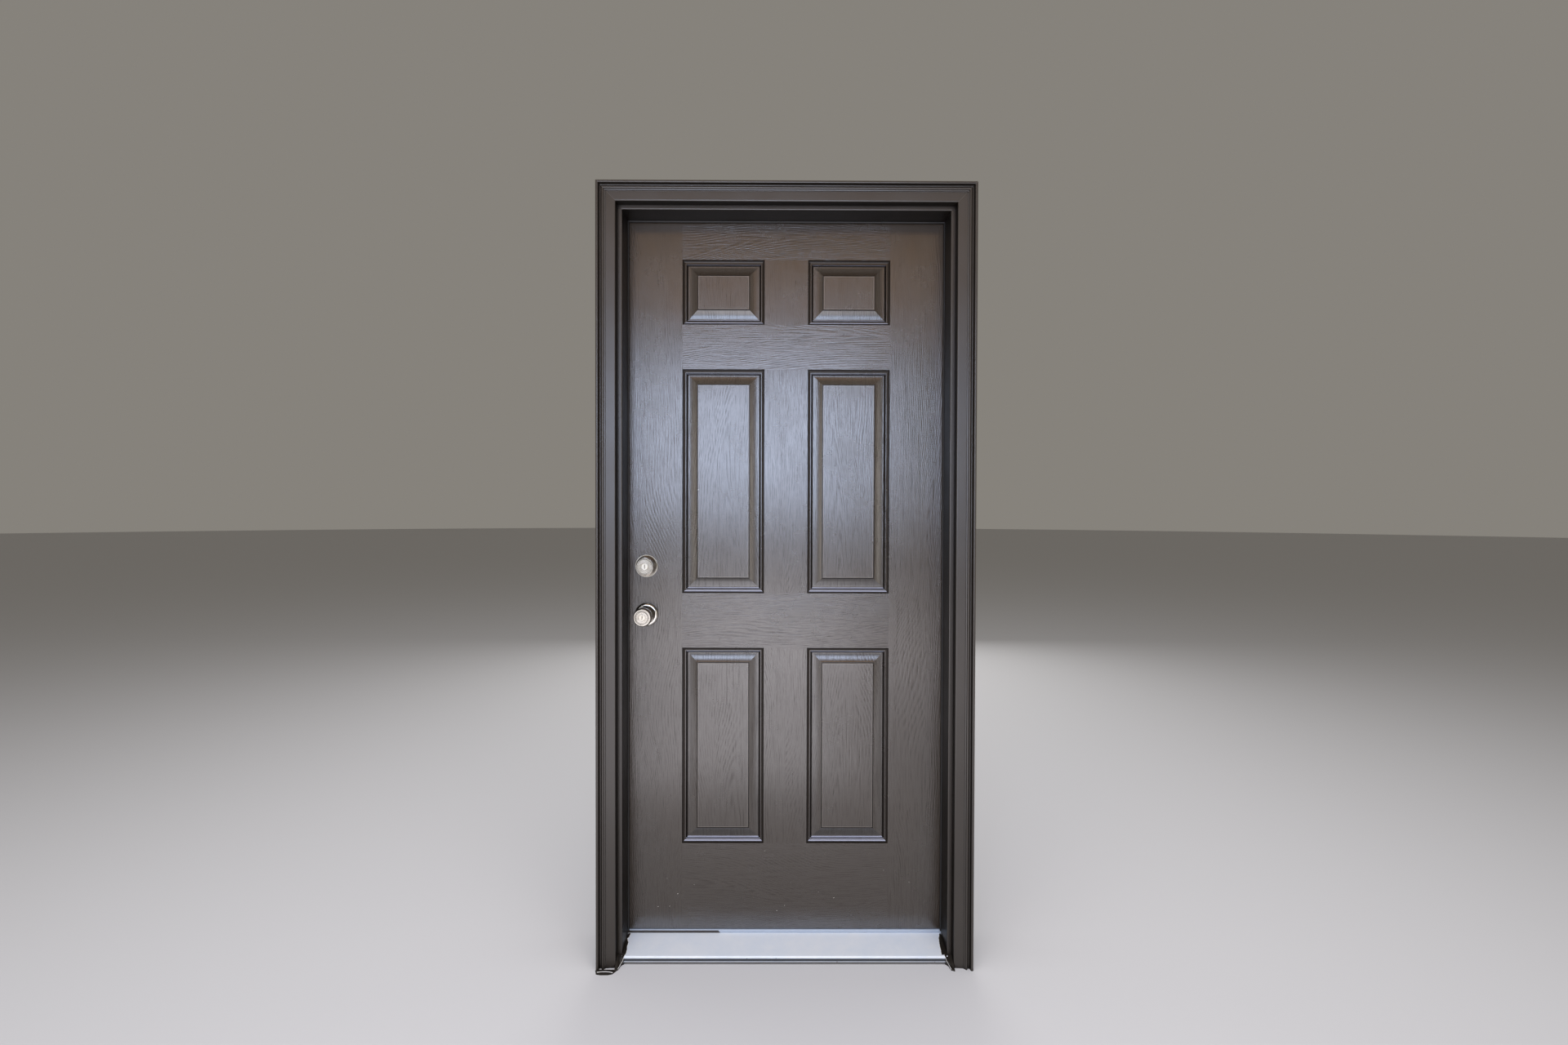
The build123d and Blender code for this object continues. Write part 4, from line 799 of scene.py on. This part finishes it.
pale_caulk, tree, shader, place = finish_named("pale_acrylic_caulk")
crumbs = add(tree, "TexNoise", {"Vector": place, "Scale": per_metre(1.4), "Detail": 2.0})
whites = {"Factor": crumbs, "A": linear("#c4c0ba"), "B": linear("#f4f3f0")}
tone = add(tree, "Mix", whites, data_type="RGBA")
fill(shader, {"Base Color": tone, "Roughness": CAULK_ROUGHNESS})
print("finishes for thin pieces:", overrun_paint.name, pale_caulk.name)

# %% [markdown]
# ## Paint over the ends of the tread
# Each end of the tread carries a sheet of paint from the jamb's stop to a ragged line, and a thin
# pale bead of caulk along that line. The tread slopes, so a small function gives its height at each
# depth, and the sheet lies half in and half above the metal.

# %% Paint over the tread
STOP_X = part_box("hinge_jamb")[0].x
TREAD_LOW, TREAD_HIGH = (-0.074, 0.022), (-0.005, 0.033)  # depth and height where the slope ends
TREAD_SLOPE = (TREAD_HIGH[1] - TREAD_LOW[1]) / (TREAD_HIGH[0] - TREAD_LOW[0])
PAINT_THICK = 0.0004
CAULK_BEAD = 0.0006
overrun_edges = {
    "left": [
        (-0.4366, -0.0055), (-0.4384, -0.018), (-0.4424, -0.022), (-0.4371, -0.034),
        (-0.4362, -0.049), (-0.4342, -0.062), (-0.4344, -0.0735),
    ],
    "right": [
        (0.4407, -0.0055), (0.4342, -0.0216), (0.4327, -0.031), (0.4318, -0.041),
        (0.4309, -0.052), (0.4301, -0.063), (0.4290, -0.0735),
    ],
}


def on_tread(y):
    """Height of the tread's slope at a depth."""
    return TREAD_LOW[1] + TREAD_SLOPE * (y - TREAD_LOW[0])


for side, edge in overrun_edges.items():
    stop_x = math.copysign(STOP_X, edge[0][0])
    edge = ragged(edge)
    rim = [*edge, *((stop_x, y) for _, y in reversed(edge))]
    lower = [(x, y, on_tread(y) - PAINT_THICK) for x, y in rim]
    upper = [(x, y, on_tread(y) + PAINT_THICK) for x, y in rim]
    closed_piece(f"paint_overrun_{side}", lower, upper, overrun_paint, "frame")
    line = [(x, y, on_tread(y) + PAINT_THICK / 2) for x, y in edge]
    bead(f"caulk_line_{side}", line, CAULK_BEAD, pale_caulk, "frame")
print("slope of the tread in degrees:", round(math.degrees(math.atan(TREAD_SLOPE)), 1))

# %% [markdown]
# ## Sealant in the corners and at the left leg
# Between nose, jamb and casing stands a lump of painted sealant, higher at the jamb and thin at the
# front. It could be sculpted, but a plan of nine points with a height at each is enough for something
# a few centimetres wide, with its edges softened by a bevel. The left leg also stands in a smear
# of sealant that reaches past its foot, and it gets a smaller upper ring, so that its sides slope.

# %% Sealant
LEG_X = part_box("casing_hinge_side")[0].x
JAMB_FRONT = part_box("casing_hinge_side")[1].y
INTO_LEG = LEG_X + 0.0005
BEHIND_JAMB = JAMB_FRONT + 0.0005
SOFT_EDGE, CAULK_AHEAD, CAULK_POINTS = 0.0006, 0.0003, 5
corner_plan = [
    (0.4352, -0.0745, 0.0238),
    (0.4381, -0.0812, 0.0190),
    (0.4400, -0.0822, 0.0120),
    (0.4443, -0.0873, 0.0070),
    (0.4478, -0.1017, 0.0035),
    (INTO_LEG, -0.1050, 0.0030),
    (INTO_LEG, JAMB_FRONT - 0.0010, 0.0225),
    (STOP_X - 0.0006, BEHIND_JAMB, 0.0245),
    (0.4343, BEHIND_JAMB, 0.0243),
]
for side, sign in (("left", -1), ("right", 1)):
    lower = [(sign * x, y, 0) for x, y, _ in corner_plan]
    upper = [(sign * x, y, z) for x, y, z in corner_plan]
    piece = closed_piece(f"corner_sealant_{side}", lower, upper, overrun_paint, "frame")
    soften = piece.modifiers.new("soft_edges", "BEVEL")
    soften.width, soften.segments = SOFT_EDGE, 2
    line = [(sign * x, y - CAULK_AHEAD, z) for x, y, z in corner_plan[:CAULK_POINTS]]
    bead(f"corner_caulk_{side}", line, CAULK_BEAD, pale_caulk, "frame")

foot_plan = [
    (-0.5085, -0.1020), (-0.5025, -0.1155), (-0.4900, -0.1180),
    (-0.4700, -0.1178), (-0.4590, -0.1150), (-0.4505, -0.1030),
]
FOOT_MIDDLE, FOOT_SHRINK, FOOT_HIGH = (-0.480, -0.100), (0.12, 0.35), 0.0028
FOOT_BEAD, FOOT_BEAD_HIGH = 0.0008, 0.0030
lower = [(x, y, 0) for x, y in foot_plan]
upper = [
    (x + (FOOT_MIDDLE[0] - x) * FOOT_SHRINK[0], y + (FOOT_MIDDLE[1] - y) * FOOT_SHRINK[1], FOOT_HIGH)
    for x, y in foot_plan
]
closed_piece("foot_sealant_left", lower, upper, overrun_paint, "frame")
foot_line = [
    (-0.5005, -0.1110), (-0.4900, -0.1095), (-0.4793, -0.1090), (-0.4680, -0.1100), (-0.4585, -0.1130),
]
foot_line = [(x, y, FOOT_BEAD_HIGH) for x, y in ragged(foot_line)]
bead("foot_caulk_left", foot_line, FOOT_BEAD, pale_caulk, "frame")
print("points in the corner's plan:", len(corner_plan))

# %% [markdown]
# ## Splashes and scrapes
# Fourteen pale specks of caulk sit on the foot of the slab, and the nose has five dark scrapes that
# shoes made. A texture could scatter them, but these are few, so each is a tiny flattened dome at its
# own place. The domes of a kind are joined into one mesh, which rides on the door or on the frame.
# A scrape is bare metal with dirt in it, so to the eye it is a matt dark grey.

# %% Specks on the slab and scrapes on the nose
SPECKS = [
    (-0.3355, 0.1874), (-0.3050, 0.1431), (-0.3608, 0.1060), (-0.3280, 0.1074), (-0.2580, 0.1691),
    (-0.0005, 0.1097), (0.3546, 0.1770), (0.2821, 0.2110), (0.1894, 0.0816), (-0.0224, 0.0951),
    (0.0959, 0.1482), (0.1402, 0.1318), (-0.0566, 0.2665), (0.0163, 0.1754),
]
NOSE_SCRAPES = [(-0.3643, 0.0150), (-0.1029, 0.0172), (-0.0235, 0.0178), (0.1426, 0.0086), (0.4084, 0.0084)]
NOSE_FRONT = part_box("sill_deck")[0].y
SLAB_FACE, SPECK_THICK = 0.0, 0.0002
SPECK_SIZE, SPECK_HEIGHT_SHARE = (0.0004, 0.0009), (0.7, 1.2)
SCRAPE_LENGTH, SCRAPE_DEPTH, SCRAPE_HEIGHT = (0.0014, 0.0026), 0.00025, 0.0007


def flat_drops(name, drops, finish, body):
    """Many small flattened domes on an upright face, joined into one mesh."""
    mesh = bpy.data.meshes.new(name)
    shape = bmesh.new()
    for middle, (wide, thick, high) in drops:
        spread = Matrix.Translation(middle) @ Matrix.Diagonal((wide, thick, high, 1))
        bmesh.ops.create_icosphere(shape, subdivisions=2, radius=1.0, matrix=spread)
    shape.to_mesh(mesh)
    shape.free()
    return place_piece(name, mesh, finish, body)


splashes = []
for x, z in SPECKS:
    size = chance.uniform(*SPECK_SIZE)
    splashes.append(((x, SLAB_FACE, z), (size, SPECK_THICK, size * chance.uniform(*SPECK_HEIGHT_SHARE))))
flat_drops("pale_specks_on_slab", splashes, pale_caulk, "door")

scrape, _, shader, _ = finish_named("dark_scrape_in_aluminium")
fill(shader, {"Base Color": linear("#3a3d42"), "Roughness": 0.6})
scrapes = []
for x, z in NOSE_SCRAPES:
    scrapes.append(((x, NOSE_FRONT, z), (chance.uniform(*SCRAPE_LENGTH), SCRAPE_DEPTH, SCRAPE_HEIGHT)))
flat_drops("scrapes_on_nose", scrapes, scrape, "frame")
